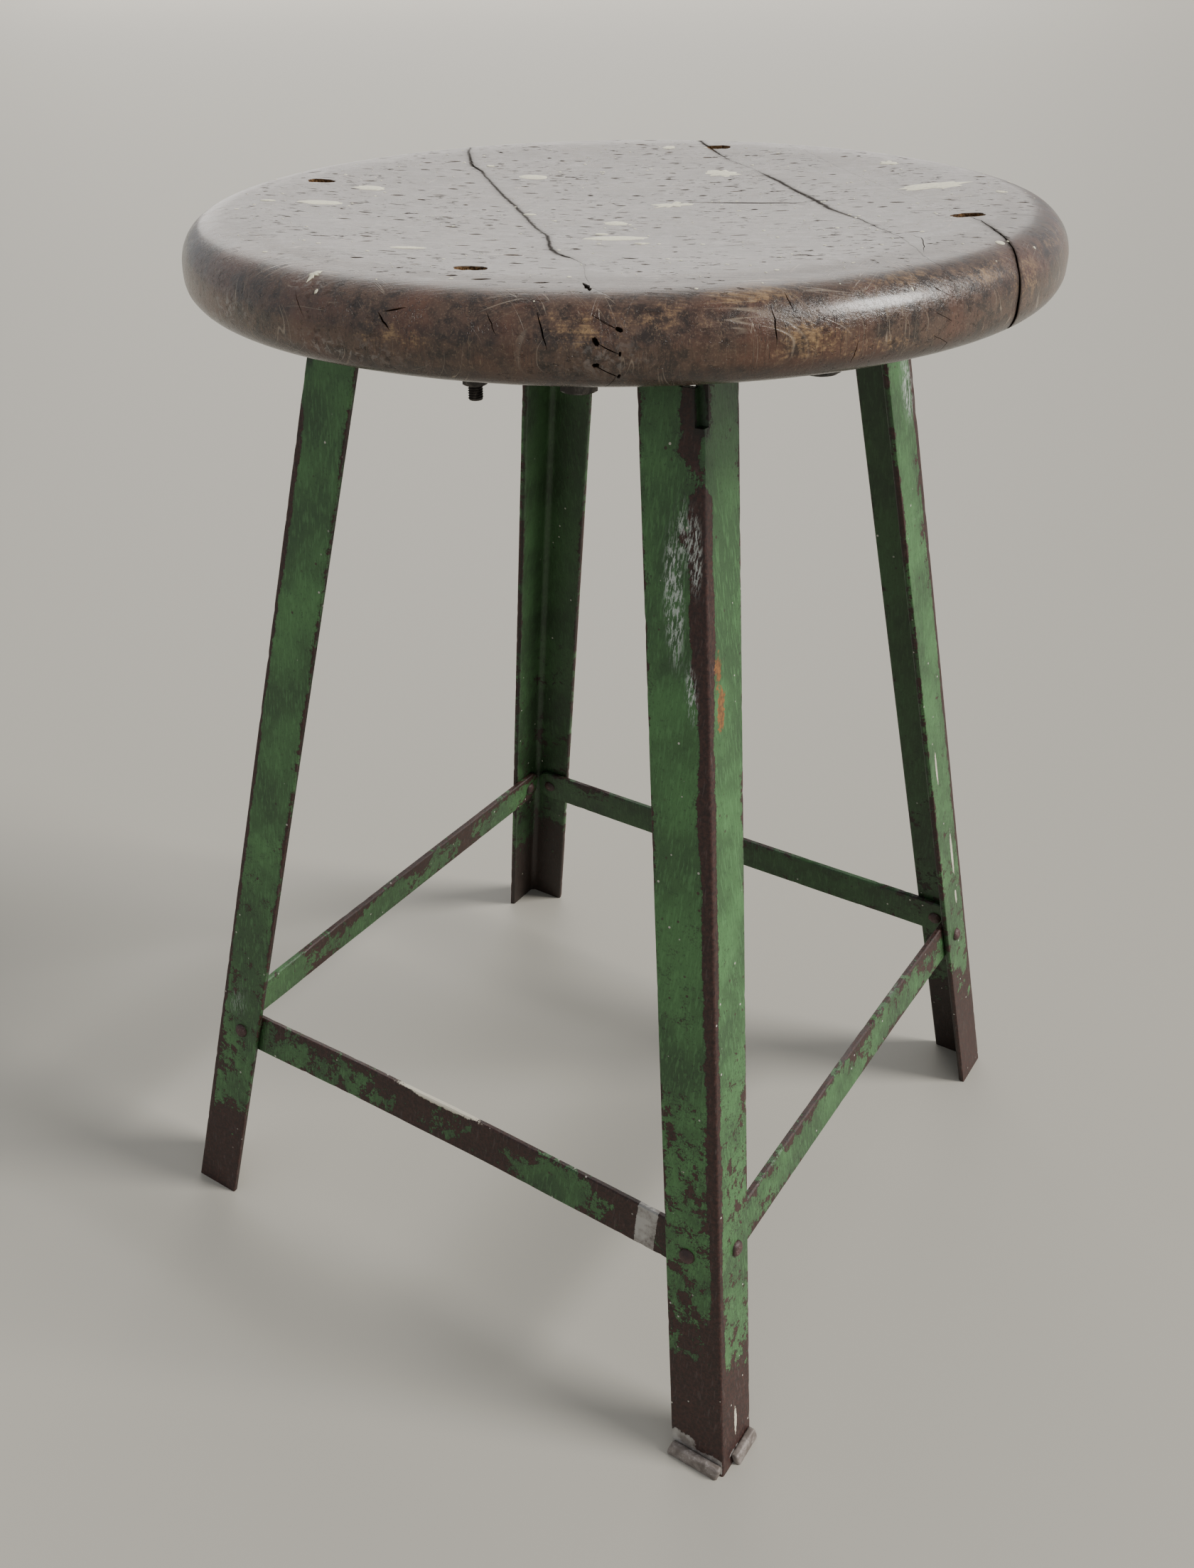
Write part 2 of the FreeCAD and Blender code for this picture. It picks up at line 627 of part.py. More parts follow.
def domed_profile(sketch, grip, flush):
    """Half section of a rivet whose first head is below z = 0 and whose shank is above.

    The far end is a second dome, or a flare that is flush with the grip's end."""
    radius = "rivet_diameter / 2"
    head = "rivet_head_diameter / 2"
    dome_arc(sketch, "0", -1)
    if flush:
        flare = f"{radius} + rivet_flare"
        corners = [(head, "0"), (radius, "0"), (radius, f"{grip} - rivet_flare"), (flare, grip), ("0", grip)]
        top = ("0", grip)
    else:
        dome_arc(sketch, grip, 1)
        corners = [(head, "0"), (radius, "0"), (radius, grip), (head, grip)]
        top = ("0", f"{grip} + rivet_head_height")
    for start, end in list(zip(corners, corners[1:])) + [(top, ("0", "-rivet_head_height"))]:
        edge = sketch.addGeometry(Part.LineSegment(Vector(value(start[0]), value(start[1]), 0),
                                                   Vector(value(end[0]), value(end[1]), 0)), False)
        pin_point(sketch, edge, 1, *start)
        pin_point(sketch, edge, 2, *end)


def dome_arc(sketch, level, side):
    """Half of a rivet head's dome, standing on a level, up or down."""
    head = value("rivet_head_diameter / 2")
    height = value("rivet_head_height")
    radius = (head ** 2 + height ** 2) / (2 * height)
    base = value(level)
    centre = Vector(0, base + side * (height - radius), 0)
    rim = Vector(head, base, 0)
    pole = Vector(0, base + side * height, 0)
    first, last = (rim, pole) if side > 0 else (pole, rim)
    arc = tangent_arc(sketch, centre, first, last, True)
    rim_end, pole_end = (1, 2) if side > 0 else (2, 1)
    pin_point(sketch, arc, rim_end, "rivet_head_diameter / 2", level)
    pin_point(sketch, arc, pole_end, "0", f"{level} {'+' if side > 0 else '-'} rivet_head_height")
    pin_along(sketch, "DistanceX", arc, 3, "0")


def make_rivet(label, grip, flush):
    rivet = new_body(label)
    profile = body_sketch(rivet, label + "_profile", "XZ_Plane")
    domed_profile(profile, grip, flush)
    revolve(rivet, label + "_turned", profile)
    return rivet


def make_stretcher_rivet(label, turn, hand):
    """A rivet through a flange and a stretcher, its first head on the outside."""
    rivet = make_rivet(label, "(flange_thickness + stretcher_thickness)", False)
    x = f"{hand} * rivet_reach * cos({turn}) + stretcher_half_span * sin({turn})"
    y = f"{hand} * rivet_reach * sin({turn}) - stretcher_half_span * cos({turn})"
    place(rivet, x, y, "stretcher_height", str(turn), "-90 - lean_angle")
    return rivet


# --------------------------------------------------------------- ring and its fasteners

def make_ring():
    """The flat ring between the legs and the seat, drilled for every fastener."""
    ring = new_body("mounting_ring")
    outline = body_sketch(ring, "ring_outline", offset="ring_bottom")
    circle(outline, "0", "0", "ring_radius - ring_width")
    circle(outline, "0", "0", "ring_radius")
    pad(ring, "ring_flat", outline, "ring_thickness")

    holes = body_sketch(ring, "ring_bolt_holes", offset="underside")
    for number in range(4):
        x, y = polar("bolt_circle_radius", bolt_angle(number))
        circle(holes, x, y, "bolt_diameter / 2 + bolt_clearance")
    for angle in coach_angles():
        x, y = polar("coach_circle_radius", angle)
        circle(holes, x, y, "coach_diameter / 2 + bolt_clearance")
    pocket(ring, "ring_bolt_drilling", holes)

    rivets = body_sketch(ring, "ring_rivet_holes", offset="underside")
    for x, y in all_tab_spots():
        circle(rivets, x, y, "rivet_diameter / 2")
    pocket(ring, "ring_rivet_drilling", rivets)

    top = value("underside")
    spots = [Vector(value(x), value(y), top) for x, y in all_tab_spots()]
    rims = []
    for number, edge in enumerate(ring.Tip.Shape.Edges, start=1):
        if not isinstance(edge.Curve, Part.Circle):
            continue
        if any((edge.Curve.Center - spot).Length < 0.05 for spot in spots):
            rims.append(f"Edge{number}")
    base = ring.Tip
    sink = ring.newObject("PartDesign::Chamfer", "ring_countersinks")
    sink.Base = (base, rims)
    bind(sink, "Size", "rivet_flare")
    doc.recompute()
    return ring


def quarter_turned(spot, quarter):
    """A point of the front leg's quarter, turned by whole quarters."""
    x, y = spot
    return [(x, y), (f"-({y})", x), (f"-({x})", f"-({y})"), (y, f"-({x})")][quarter]


def all_tab_spots():
    return [quarter_turned(spot, quarter) for quarter in range(4) for spot in tab_rivet_spots()]


def hexagon(sketch, flats):
    """A regular hexagon about the origin, by its width across flats."""
    corner = f"({flats}) / 2 / cos(30)"
    closed_outline(sketch, [polar(corner, str(60 * side)) for side in range(6)])


def make_bolt(label, number):
    """A slotted cheese-head machine bolt, drawn head up with its seat at z = 0."""
    bolt = new_body(label)
    shank = body_sketch(bolt, label + "_shank_circle", offset="-bolt_length")
    circle(shank, "0", "0", "bolt_diameter / 2")
    pad(bolt, label + "_shank", shank, "bolt_length")
    head = body_sketch(bolt, label + "_head_circle")
    circle(head, "0", "0", "bolt_head_diameter / 2")
    pad(bolt, label + "_head", head, "bolt_head_height")
    slot = body_sketch(bolt, label + "_slot_outline", offset="bolt_head_height")
    closed_outline(slot, [("-bolt_head_diameter", "-bolt_slot_width / 2"),
                          ("bolt_head_diameter", "-bolt_slot_width / 2"),
                          ("bolt_head_diameter", "bolt_slot_width / 2"),
                          ("-bolt_head_diameter", "bolt_slot_width / 2")])
    pocket(bolt, label + "_slot", slot, "bolt_slot_depth")
    x, y = polar("bolt_circle_radius", bolt_angle(number))
    place(bolt, x, y, "seat_height - bolt_sink", str(BOLT_SLOT_TURNS[number]))
    return bolt


def make_nut():
    nut = new_body("nut_pattern")
    outline = body_sketch(nut, "nut_outline")
    hexagon(outline, "nut_flats")
    circle(outline, "0", "0", "bolt_diameter / 2")
    pad(nut, "nut_flat", outline, "nut_height")
    return nut


def make_washer(label, outside, inside, thickness):
    washer = new_body(label)
    outline = body_sketch(washer, label + "_outline")
    circle(outline, "0", "0", f"{outside} / 2")
    circle(outline, "0", "0", f"{inside} / 2 + bolt_clearance")
    pad(washer, label + "_flat", outline, thickness)
    return washer


def make_coach_screw():
    """A hexagon-head wood screw pointing up, the underside of its head at z = 0."""
    screw = new_body("coach_screw_pattern")
    head = body_sketch(screw, "coach_head_outline", offset="-coach_head_height")
    hexagon(head, "coach_head_flats")
    pad(screw, "coach_head", head, "coach_head_height")
    profile = body_sketch(screw, "coach_shank_profile", "XZ_Plane")
    closed_outline(profile, [("0", "0"), ("coach_diameter / 2", "0"),
                             ("coach_diameter / 2", "coach_length - coach_point"),
                             ("0", "coach_length")])
    revolve(screw, "coach_shank", profile)
    return screw


def repeat(label, pattern, spots):
    """One node that holds a copy of the pattern at each spot, as separate solids."""
    links = []
    for number, (x, y, z, turn) in enumerate(spots, start=1):
        link = doc.addObject("App::Link", f"{label}_{number}")
        link.LinkedObject = pattern
        place(link, x, y, z, turn)
        links.append(link)
    group = doc.addObject("Part::Compound", label)
    group.Label = label
    group.Links = links
    doc.recompute()
    return group


# ------------------------------------------------------------------------ the stool

CORNERS = [("front", 0), ("right", 90), ("back", 180), ("left", 270)]

nodes = make_seat_boards(make_seat_blank())
for corner, turn in CORNERS:
    nodes.append(make_leg(f"leg_{corner}", turn))
nodes += make_foot_strips()
for side, turn in CORNERS:
    nodes.append(make_stretcher(f"stretcher_{side}", turn))
    for end, hand in (("a", -1), ("b", 1)):
        nodes.append(make_stretcher_rivet(f"stretcher_rivet_{side}_{end}", turn, hand))
nodes.append(make_ring())
for number in range(len(BOLT_SLOT_TURNS)):
    nodes.append(make_bolt(f"seat_bolt_{number + 1}", number))

tab_rivet = make_rivet("tab_rivet_pattern", "(flange_thickness + ring_thickness)", True)
nodes.append(repeat("tab_rivets", tab_rivet,
                    [(x, y, "ring_bottom - flange_thickness", "0") for x, y in all_tab_spots()]))

bolt_spots = [polar("bolt_circle_radius", bolt_angle(number)) for number in range(4)]
nodes.append(repeat("bolt_washers", make_washer("washer_pattern", "washer_diameter", "bolt_diameter",
                                                "washer_thickness"),
                    [(x, y, "ring_bottom - washer_thickness", "0") for x, y in bolt_spots]))
nodes.append(repeat("bolt_nuts", make_nut(),
                    [(x, y, "ring_bottom - washer_thickness - nut_height", str(NUT_TURN_STEP * n))
                     for n, (x, y) in enumerate(bolt_spots)]))

coach_spots = [polar("coach_circle_radius", angle) for angle in coach_angles()]
nodes.append(repeat("coach_washers", make_washer("coach_washer_pattern", "coach_washer_diameter",
                                                 "coach_diameter", "coach_washer_thickness"),
                    [(x, y, "ring_bottom - coach_washer_thickness", "0") for x, y in coach_spots]))
nodes.append(repeat("coach_screws", make_coach_screw(),
                    [(x, y, "ring_bottom - coach_washer_thickness", str(COACH_TURN_STEP * n))
                     for n, (x, y) in enumerate(coach_spots)]))

doc.recompute()
for obj in doc.Objects:
    if "Invalid" in obj.State or "Error" in obj.State:
        raise ValueError(f"{obj.Label} failed: {obj.State}")
for node in nodes:
    if node.Shape.isNull() or not node.Shape.isValid():
        raise ValueError(f"{node.Label} has no valid shape")

os.makedirs("parts", exist_ok=True)
for node in nodes:
    node.Shape.exportStep(f"parts/{node.Label}.step")
    print(f"{node.Label}: {len(node.Shape.Solids)} solid(s), {node.Shape.Volume:.0f} mm3")
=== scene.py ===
"""Looks of the workshop stool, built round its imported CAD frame."""

import math

import bmesh
import bpy
import numpy as np
from mathutils import Matrix, Vector, noise


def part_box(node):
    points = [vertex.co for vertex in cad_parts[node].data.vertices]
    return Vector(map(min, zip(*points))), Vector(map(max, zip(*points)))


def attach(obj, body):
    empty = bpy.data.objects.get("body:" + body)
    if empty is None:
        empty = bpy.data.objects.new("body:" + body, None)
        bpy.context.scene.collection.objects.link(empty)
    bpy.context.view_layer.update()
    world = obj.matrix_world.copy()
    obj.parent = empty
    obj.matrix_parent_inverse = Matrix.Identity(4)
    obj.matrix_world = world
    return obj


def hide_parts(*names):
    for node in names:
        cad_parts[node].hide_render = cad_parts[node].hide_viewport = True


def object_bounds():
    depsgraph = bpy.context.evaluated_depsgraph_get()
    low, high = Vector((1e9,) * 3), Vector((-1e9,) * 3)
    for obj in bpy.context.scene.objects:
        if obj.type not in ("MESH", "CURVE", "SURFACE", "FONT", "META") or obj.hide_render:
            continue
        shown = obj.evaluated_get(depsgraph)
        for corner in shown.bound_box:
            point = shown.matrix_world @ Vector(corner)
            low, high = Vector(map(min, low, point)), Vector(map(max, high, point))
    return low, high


# Meshes are drawn in millimetres, in the CAD's frame, and stored in metres.
MM = 0.001

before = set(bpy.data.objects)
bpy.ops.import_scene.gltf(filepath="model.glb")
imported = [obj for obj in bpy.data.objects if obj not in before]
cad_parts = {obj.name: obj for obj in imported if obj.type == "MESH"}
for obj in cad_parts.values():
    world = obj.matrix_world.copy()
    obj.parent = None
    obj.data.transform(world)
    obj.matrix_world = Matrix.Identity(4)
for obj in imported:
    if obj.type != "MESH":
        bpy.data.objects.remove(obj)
cad_low, cad_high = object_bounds()


def box_mm(*nodes):
    """Lowest and highest corner of some CAD nodes, in millimetres."""
    lows, highs = zip(*(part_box(node) for node in nodes))
    return np.min(lows, axis=0) / MM, np.max(highs, axis=0) / MM


# ------------------------------------------------------------------- sizes, in mm

BOARDS = ["seat_board_left", "seat_board_middle", "seat_board_narrow", "seat_board_right"]
CORNERS = [("front", 0), ("right", 90), ("back", 180), ("left", 270)]

seat_low, seat_high = box_mm(*BOARDS)
SEAT_RADIUS = (seat_high[0] - seat_low[0]) / 2
SEAT_TOP = seat_high[2]
UNDERSIDE = seat_low[2]
SEAT_DISH = 5.0
CREST_ROUND = 16.5
UNDER_ROUND = 8.6
SEAT_SEGMENTS = 420
SEAT_STEP = 2.0

# joints between the boards, as distances along the (1, 1) diagonal
JOINT_A = -41.0
JOINT_B = 67.0
JOINT_C = 104.0
FINGER_PITCH = 7.4
FINGER_DEPTH = 6.5
FINGER_START = 2.9
FINGERS = 4

ring_low, ring_high = box_mm("mounting_ring")
RING_RADIUS = ring_high[0]
RING_WIDTH = 30.0
RING_BOTTOM = ring_low[2]
RING_TOP = ring_high[2]

FLANGE = 25.0
FLANGE_THICKNESS = 3.0
ROOT_ROUND = 3.0
HEEL_ROUND = 0.9
TOE_ROUND = 1.3
leg_low, leg_high = box_mm("leg_front")
FOOT_SPAN = leg_high[0]
TAB_LENGTH = 18.0
SLIT_LENGTH = 21.0
RELIEF = 9.0

# the lean of a leg, first from the flange's own width and then from its width cut level
LEAN = (FOOT_SPAN - leg_low[0] - FLANGE) / RING_BOTTOM
LEAN_ANGLE = math.atan(LEAN)
LEVEL_WIDTH = FLANGE / math.cos(LEAN_ANGLE)
LEAN = (FOOT_SPAN - leg_low[0] - LEVEL_WIDTH) / RING_BOTTOM
LEAN_ANGLE = math.atan(LEAN)
LEVEL_THICKNESS = FLANGE_THICKNESS / math.cos(LEAN_ANGLE)

RIVET_HEAD_RADIUS = 3.75
RIVET_HEAD_HEIGHT = 2.25
RIVET_SHANK_RADIUS = 2.0
BOLT_HEAD_HEIGHT = 3.3
BOLT_HOLE_RADIUS = 2.75
COACH_HOLE_RADIUS = 3.75
DENTS = 190
SPATTERS = 300

GRAIN_AZIMUTH = math.radians(27)

random = np.random.default_rng(11)


def heel(z):
    """Distance from the stool's axis planes to a leg's outer faces at a height."""
    return FOOT_SPAN - LEAN * z


def smooth(low, high, x):
    """0 to 1, smoothly, as x goes from low to high, which may be the lower number."""
    t = np.clip((np.asarray(x, float) - low) / (high - low), 0, 1)
    return t * t * (3 - 2 * t)


def wobble(points, size, seed=0.0):
    """Smooth noise from -1 to 1 at each point; size is its grain in millimetres."""
    return np.array([noise.noise(Vector(p) / size + Vector((seed, seed * 0.7, -seed)))
                     for p in np.asarray(points, float)])


# ----------------------------------------------------------------- mesh helpers

def make_object(name, vertices, faces):
    mesh = bpy.data.meshes.new(name)
    mesh.from_pydata((np.asarray(vertices, float) * MM).tolist(), [], [tuple(f) for f in faces])
    shape = bmesh.new()
    shape.from_mesh(mesh)
    bmesh.ops.recalc_face_normals(shape, faces=shape.faces)
    shape.to_mesh(mesh)
    shape.free()
    obj = bpy.data.objects.new(name, mesh)
    bpy.context.scene.collection.objects.link(obj)
    return obj


def join_parts(parts):
    """Several (vertices, faces) as one."""
    vertices = []
    faces = []
    for part_vertices, part_faces in parts:
        start = len(vertices)
        vertices.extend(part_vertices)
        faces.extend([[i + start for i in face] for face in part_faces])
    return vertices, faces


def tube(rings, caps=True):
    """A closed skin over rings of the same number of points."""
    rings = np.asarray(rings, float)
    count, around = rings.shape[:2]
    faces = []
    for i in range(count - 1):
        for j in range(around):
            k = (j + 1) % around
            faces.append((i * around + j, i * around + k, (i + 1) * around + k, (i + 1) * around + j))
    if caps:
        faces.append(tuple(range(around))[::-1])
        faces.append(tuple(range((count - 1) * around, count * around)))
    return rings.reshape(-1, 3).tolist(), faces


def hoop(rings):
    """A closed skin whose last ring meets its first."""
    vertices, faces = tube([*rings, rings[0]], caps=False)
    keep = len(vertices) - len(rings[0])
    return vertices[:keep], [tuple(i % keep for i in face) for face in faces]


def lathe(profile, segments, poles=True):
    """A skin turned about the Z axis from (r, z) points; the end points may be poles on the axis."""
    inner = profile[1:-1] if poles else profile
    angles = np.arange(segments) * 2 * math.pi / segments
    rings = [[(r * math.cos(a), r * math.sin(a), z) for a in angles] for r, z in inner]
    if not poles:
        return hoop(rings)
    vertices, faces = tube(rings, caps=False)
    first, last = len(vertices), len(vertices) + 1
    vertices += [(0, 0, profile[0][1]), (0, 0, profile[-1][1])]
    end = (len(rings) - 1) * segments
    for j in range(segments):
        k = (j + 1) % segments
        faces.append((first, k, j))
        faces.append((last, end + j, end + k))
    return vertices, faces


def round_hole(x, y, radius, start, end):
    """A round pin between two heights, to cut a hole with."""
    angles = np.arange(20) * 2 * math.pi / 20
    return tube([[(x + radius * math.cos(a), y + radius * math.sin(a), z) for a in angles]
                 for z in (start, end)])


def moved(part, matrix):
    """A (vertices, faces) part under a 4 x 4 matrix in millimetres."""
    vertices, faces = part
    return [tuple(matrix @ Vector(v)) for v in vertices], faces


def boolean(obj, cutter, operation="DIFFERENCE"):
    """Cuts obj with cutter for good, and removes the cutter."""
    modifier = obj.modifiers.new("cut", "BOOLEAN")
    modifier.operation = operation
    modifier.object = cutter
    modifier.solver = "MANIFOLD"
    depsgraph = bpy.context.evaluated_depsgraph_get()
    result = bpy.data.meshes.new_from_object(obj.evaluated_get(depsgraph))
    obj.modifiers.remove(modifier)
    old = obj.data
    obj.data = result
    bpy.data.meshes.remove(old)
    bpy.data.objects.remove(cutter)


def copy_of(obj, name):
    twin = obj.copy()
    twin.data = obj.data.copy()
    twin.name = name
    bpy.context.scene.collection.objects.link(twin)
    return twin


def points_of(obj):
    """An object's vertices in millimetres."""
    flat = np.zeros(len(obj.data.vertices) * 3)
    obj.data.vertices.foreach_get("co", flat)
    return flat.reshape(-1, 3) / MM


def put_points(obj, points):
    """Moves an object's vertices, given in millimetres."""
    obj.data.vertices.foreach_set("co", (np.asarray(points) * MM).ravel())
    obj.data.update()


def paint_attribute(obj, name, values):
    """A number at each vertex, for the material to read."""
    layer = obj.data.attributes.new(name, "FLOAT", "POINT")
    layer.data.foreach_set("value", np.asarray(values, np.float32))


def piece(obj, material, slot, *replaced, angle=35):
    """Finishes a piece: material, shading, the body it rides on and the nodes it stands for."""
    obj.data.materials.clear()
    obj.data.materials.append(material)
    obj.data.polygons.foreach_set("use_smooth", [True] * len(obj.data.polygons))
    obj.data.set_sharp_from_angle(angle=math.radians(angle))
    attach(obj, "root")
    if replaced:
        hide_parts(*replaced)


# ------------------------------------------------------------------- materials

class Shader:
    """A node material, with short calls for the nodes that its layers are made of."""

    def __init__(self, name):
        self.material = bpy.data.materials.new(name)
        self.material.use_nodes = True
        self.tree = self.material.node_tree
        self.surface = self.tree.nodes["Principled BSDF"]
        self.place = self.node("ShaderNodeTexCoord").outputs["Object"]

    def node(self, kind, inputs=None, **settings):
        made = self.tree.nodes.new(kind)
        for name, value in settings.items():
            setattr(made, name, value)
        for name, value in (inputs or {}).items():
            if isinstance(value, bpy.types.NodeSocket):
                self.tree.links.new(value, made.inputs[name])
            else:
                made.inputs[name].default_value = value
        return made

    def set(self, **values):
        """Constants and links on the shader's own sockets; _ stands for a space."""
        for name, value in values.items():
            socket = self.surface.inputs[name.replace("_", " ")]
            if isinstance(value, bpy.types.NodeSocket):
                self.tree.links.new(value, socket)
            else:
                socket.default_value = value

    def stretched(self, sizes, turn=(0, 0, 0)):
        """Coordinates whose unit is this many millimetres along each axis, after a turn."""
        spun = self.node("ShaderNodeMapping", {"Vector": self.place, "Rotation": turn})
        scale = [1 / (size * MM) for size in sizes]
        return self.node("ShaderNodeMapping", {"Vector": spun.outputs[0], "Scale": scale}).outputs[0]

    def noise(self, sizes, detail=4.0, rough=0.55, turn=(0, 0, 0), warp=0.0):
        """Cloudy noise, 0 to 1, with grains of these sizes in millimetres."""
        sizes = sizes if isinstance(sizes, tuple) else (sizes, sizes, sizes)
        where = self.stretched(sizes, turn)
        inputs = {"Vector": where, "Scale": 1.0, "Detail": detail, "Roughness": rough, "Distortion": warp}
        return self.node("ShaderNodeTexNoise", inputs).outputs["Fac"]

    def dots(self, size, radius):
        """1 inside round dots on a jittered grid, 0 outside; radius is a share of the grid."""
        where = self.stretched((size, size, size))
        cell = self.node("ShaderNodeTexVoronoi", {"Vector": where, "Scale": 1.0})
        return self.step(cell.outputs["Distance"], radius, radius * 0.7)

    def step(self, value, low, high):
        """0 to 1, smoothly, as value goes from low to high, which may be the lower number."""
        inputs = {"Value": value, "From Min": low, "From Max": high}
        return self.node("ShaderNodeMapRange", inputs, interpolation_type="SMOOTHSTEP").outputs[0]

    def calc(self, operation, a, b=0.0, clamp=False):
        made = self.node("ShaderNodeMath", operation=operation, use_clamp=clamp)
        for socket, value in zip(made.inputs, (a, b)):
            if isinstance(value, bpy.types.NodeSocket):
                self.tree.links.new(value, socket)
            else:
                socket.default_value = value
        return made.outputs[0]

    def times(self, a, b):
        return self.calc("MULTIPLY", a, b)

    def vary(self, value, cloud, amount, clamp=False):
        """A number plus a noise's swing round its middle."""
        return self.calc("ADD", value, self.times(self.calc("SUBTRACT", cloud, 0.5), amount), clamp)

    def near(self, value, level, width):
        """1 where a number is at a level, and 0 further from it than a width."""
        return self.step(self.calc("ABSOLUTE", self.calc("SUBTRACT", value, level)), width, 0.0)

    def mix(self, share, first, second):
        """Colour from first to second as share goes from 0 to 1."""
        made = self.node("ShaderNodeMix", data_type="RGBA")
        sockets = [s for s in made.inputs if s.enabled]
        for socket, value in zip(sockets, (share, first, second)):
            if isinstance(value, bpy.types.NodeSocket):
                self.tree.links.new(value, socket)
            else:
                socket.default_value = (*value, 1.0) if isinstance(value, tuple) else value
        return [s for s in made.outputs if s.enabled][0]

    def tint(self, colour, share, strength, other):
        """A colour taken towards another by a share of a strength."""
        return self.mix(self.times(share, strength), colour, other)

    def blend(self, share, first, second):
        """Number from first to second as share goes from 0 to 1."""
        inputs = {"Value": share, "From Min": 0.0, "From Max": 1.0, "To Min": first, "To Max": second}
        return self.node("ShaderNodeMapRange", inputs).outputs[0]

    def attribute(self, name):
        return self.node("ShaderNodeAttribute", attribute_name=name).outputs["Fac"]

    def axis(self, letter):
        """One coordinate, in metres."""
        return self.node("ShaderNodeSeparateXYZ", {"Vector": self.place}).outputs[letter]

    def bump(self, layers):
        """Relief from (height, millimetres) pairs, one above the other."""
        normal = None
        for height, depth in layers:
            inputs = {"Height": height, "Strength": 1.0, "Distance": depth * MM}
            if normal:
                inputs["Normal"] = normal
            normal = self.node("ShaderNodeBump", inputs).outputs["Normal"]
        self.set(Normal=normal)

    def streaks(self, angle, length, width, amount):
        """Broken hairlines in the top plane at an angle: the contour of a long noise."""
        turn = (0, 0, -angle)
        long_noise = self.noise((length, width, length), 1.0, 0.4, turn)
        line = self.near(long_noise, 0.5, 0.012)
        broken = self.step(self.noise(length * 0.6, 2.0, 0.5, turn), 0.62 - amount, 0.70 - amount)
        return self.calc("MULTIPLY", line, broken)


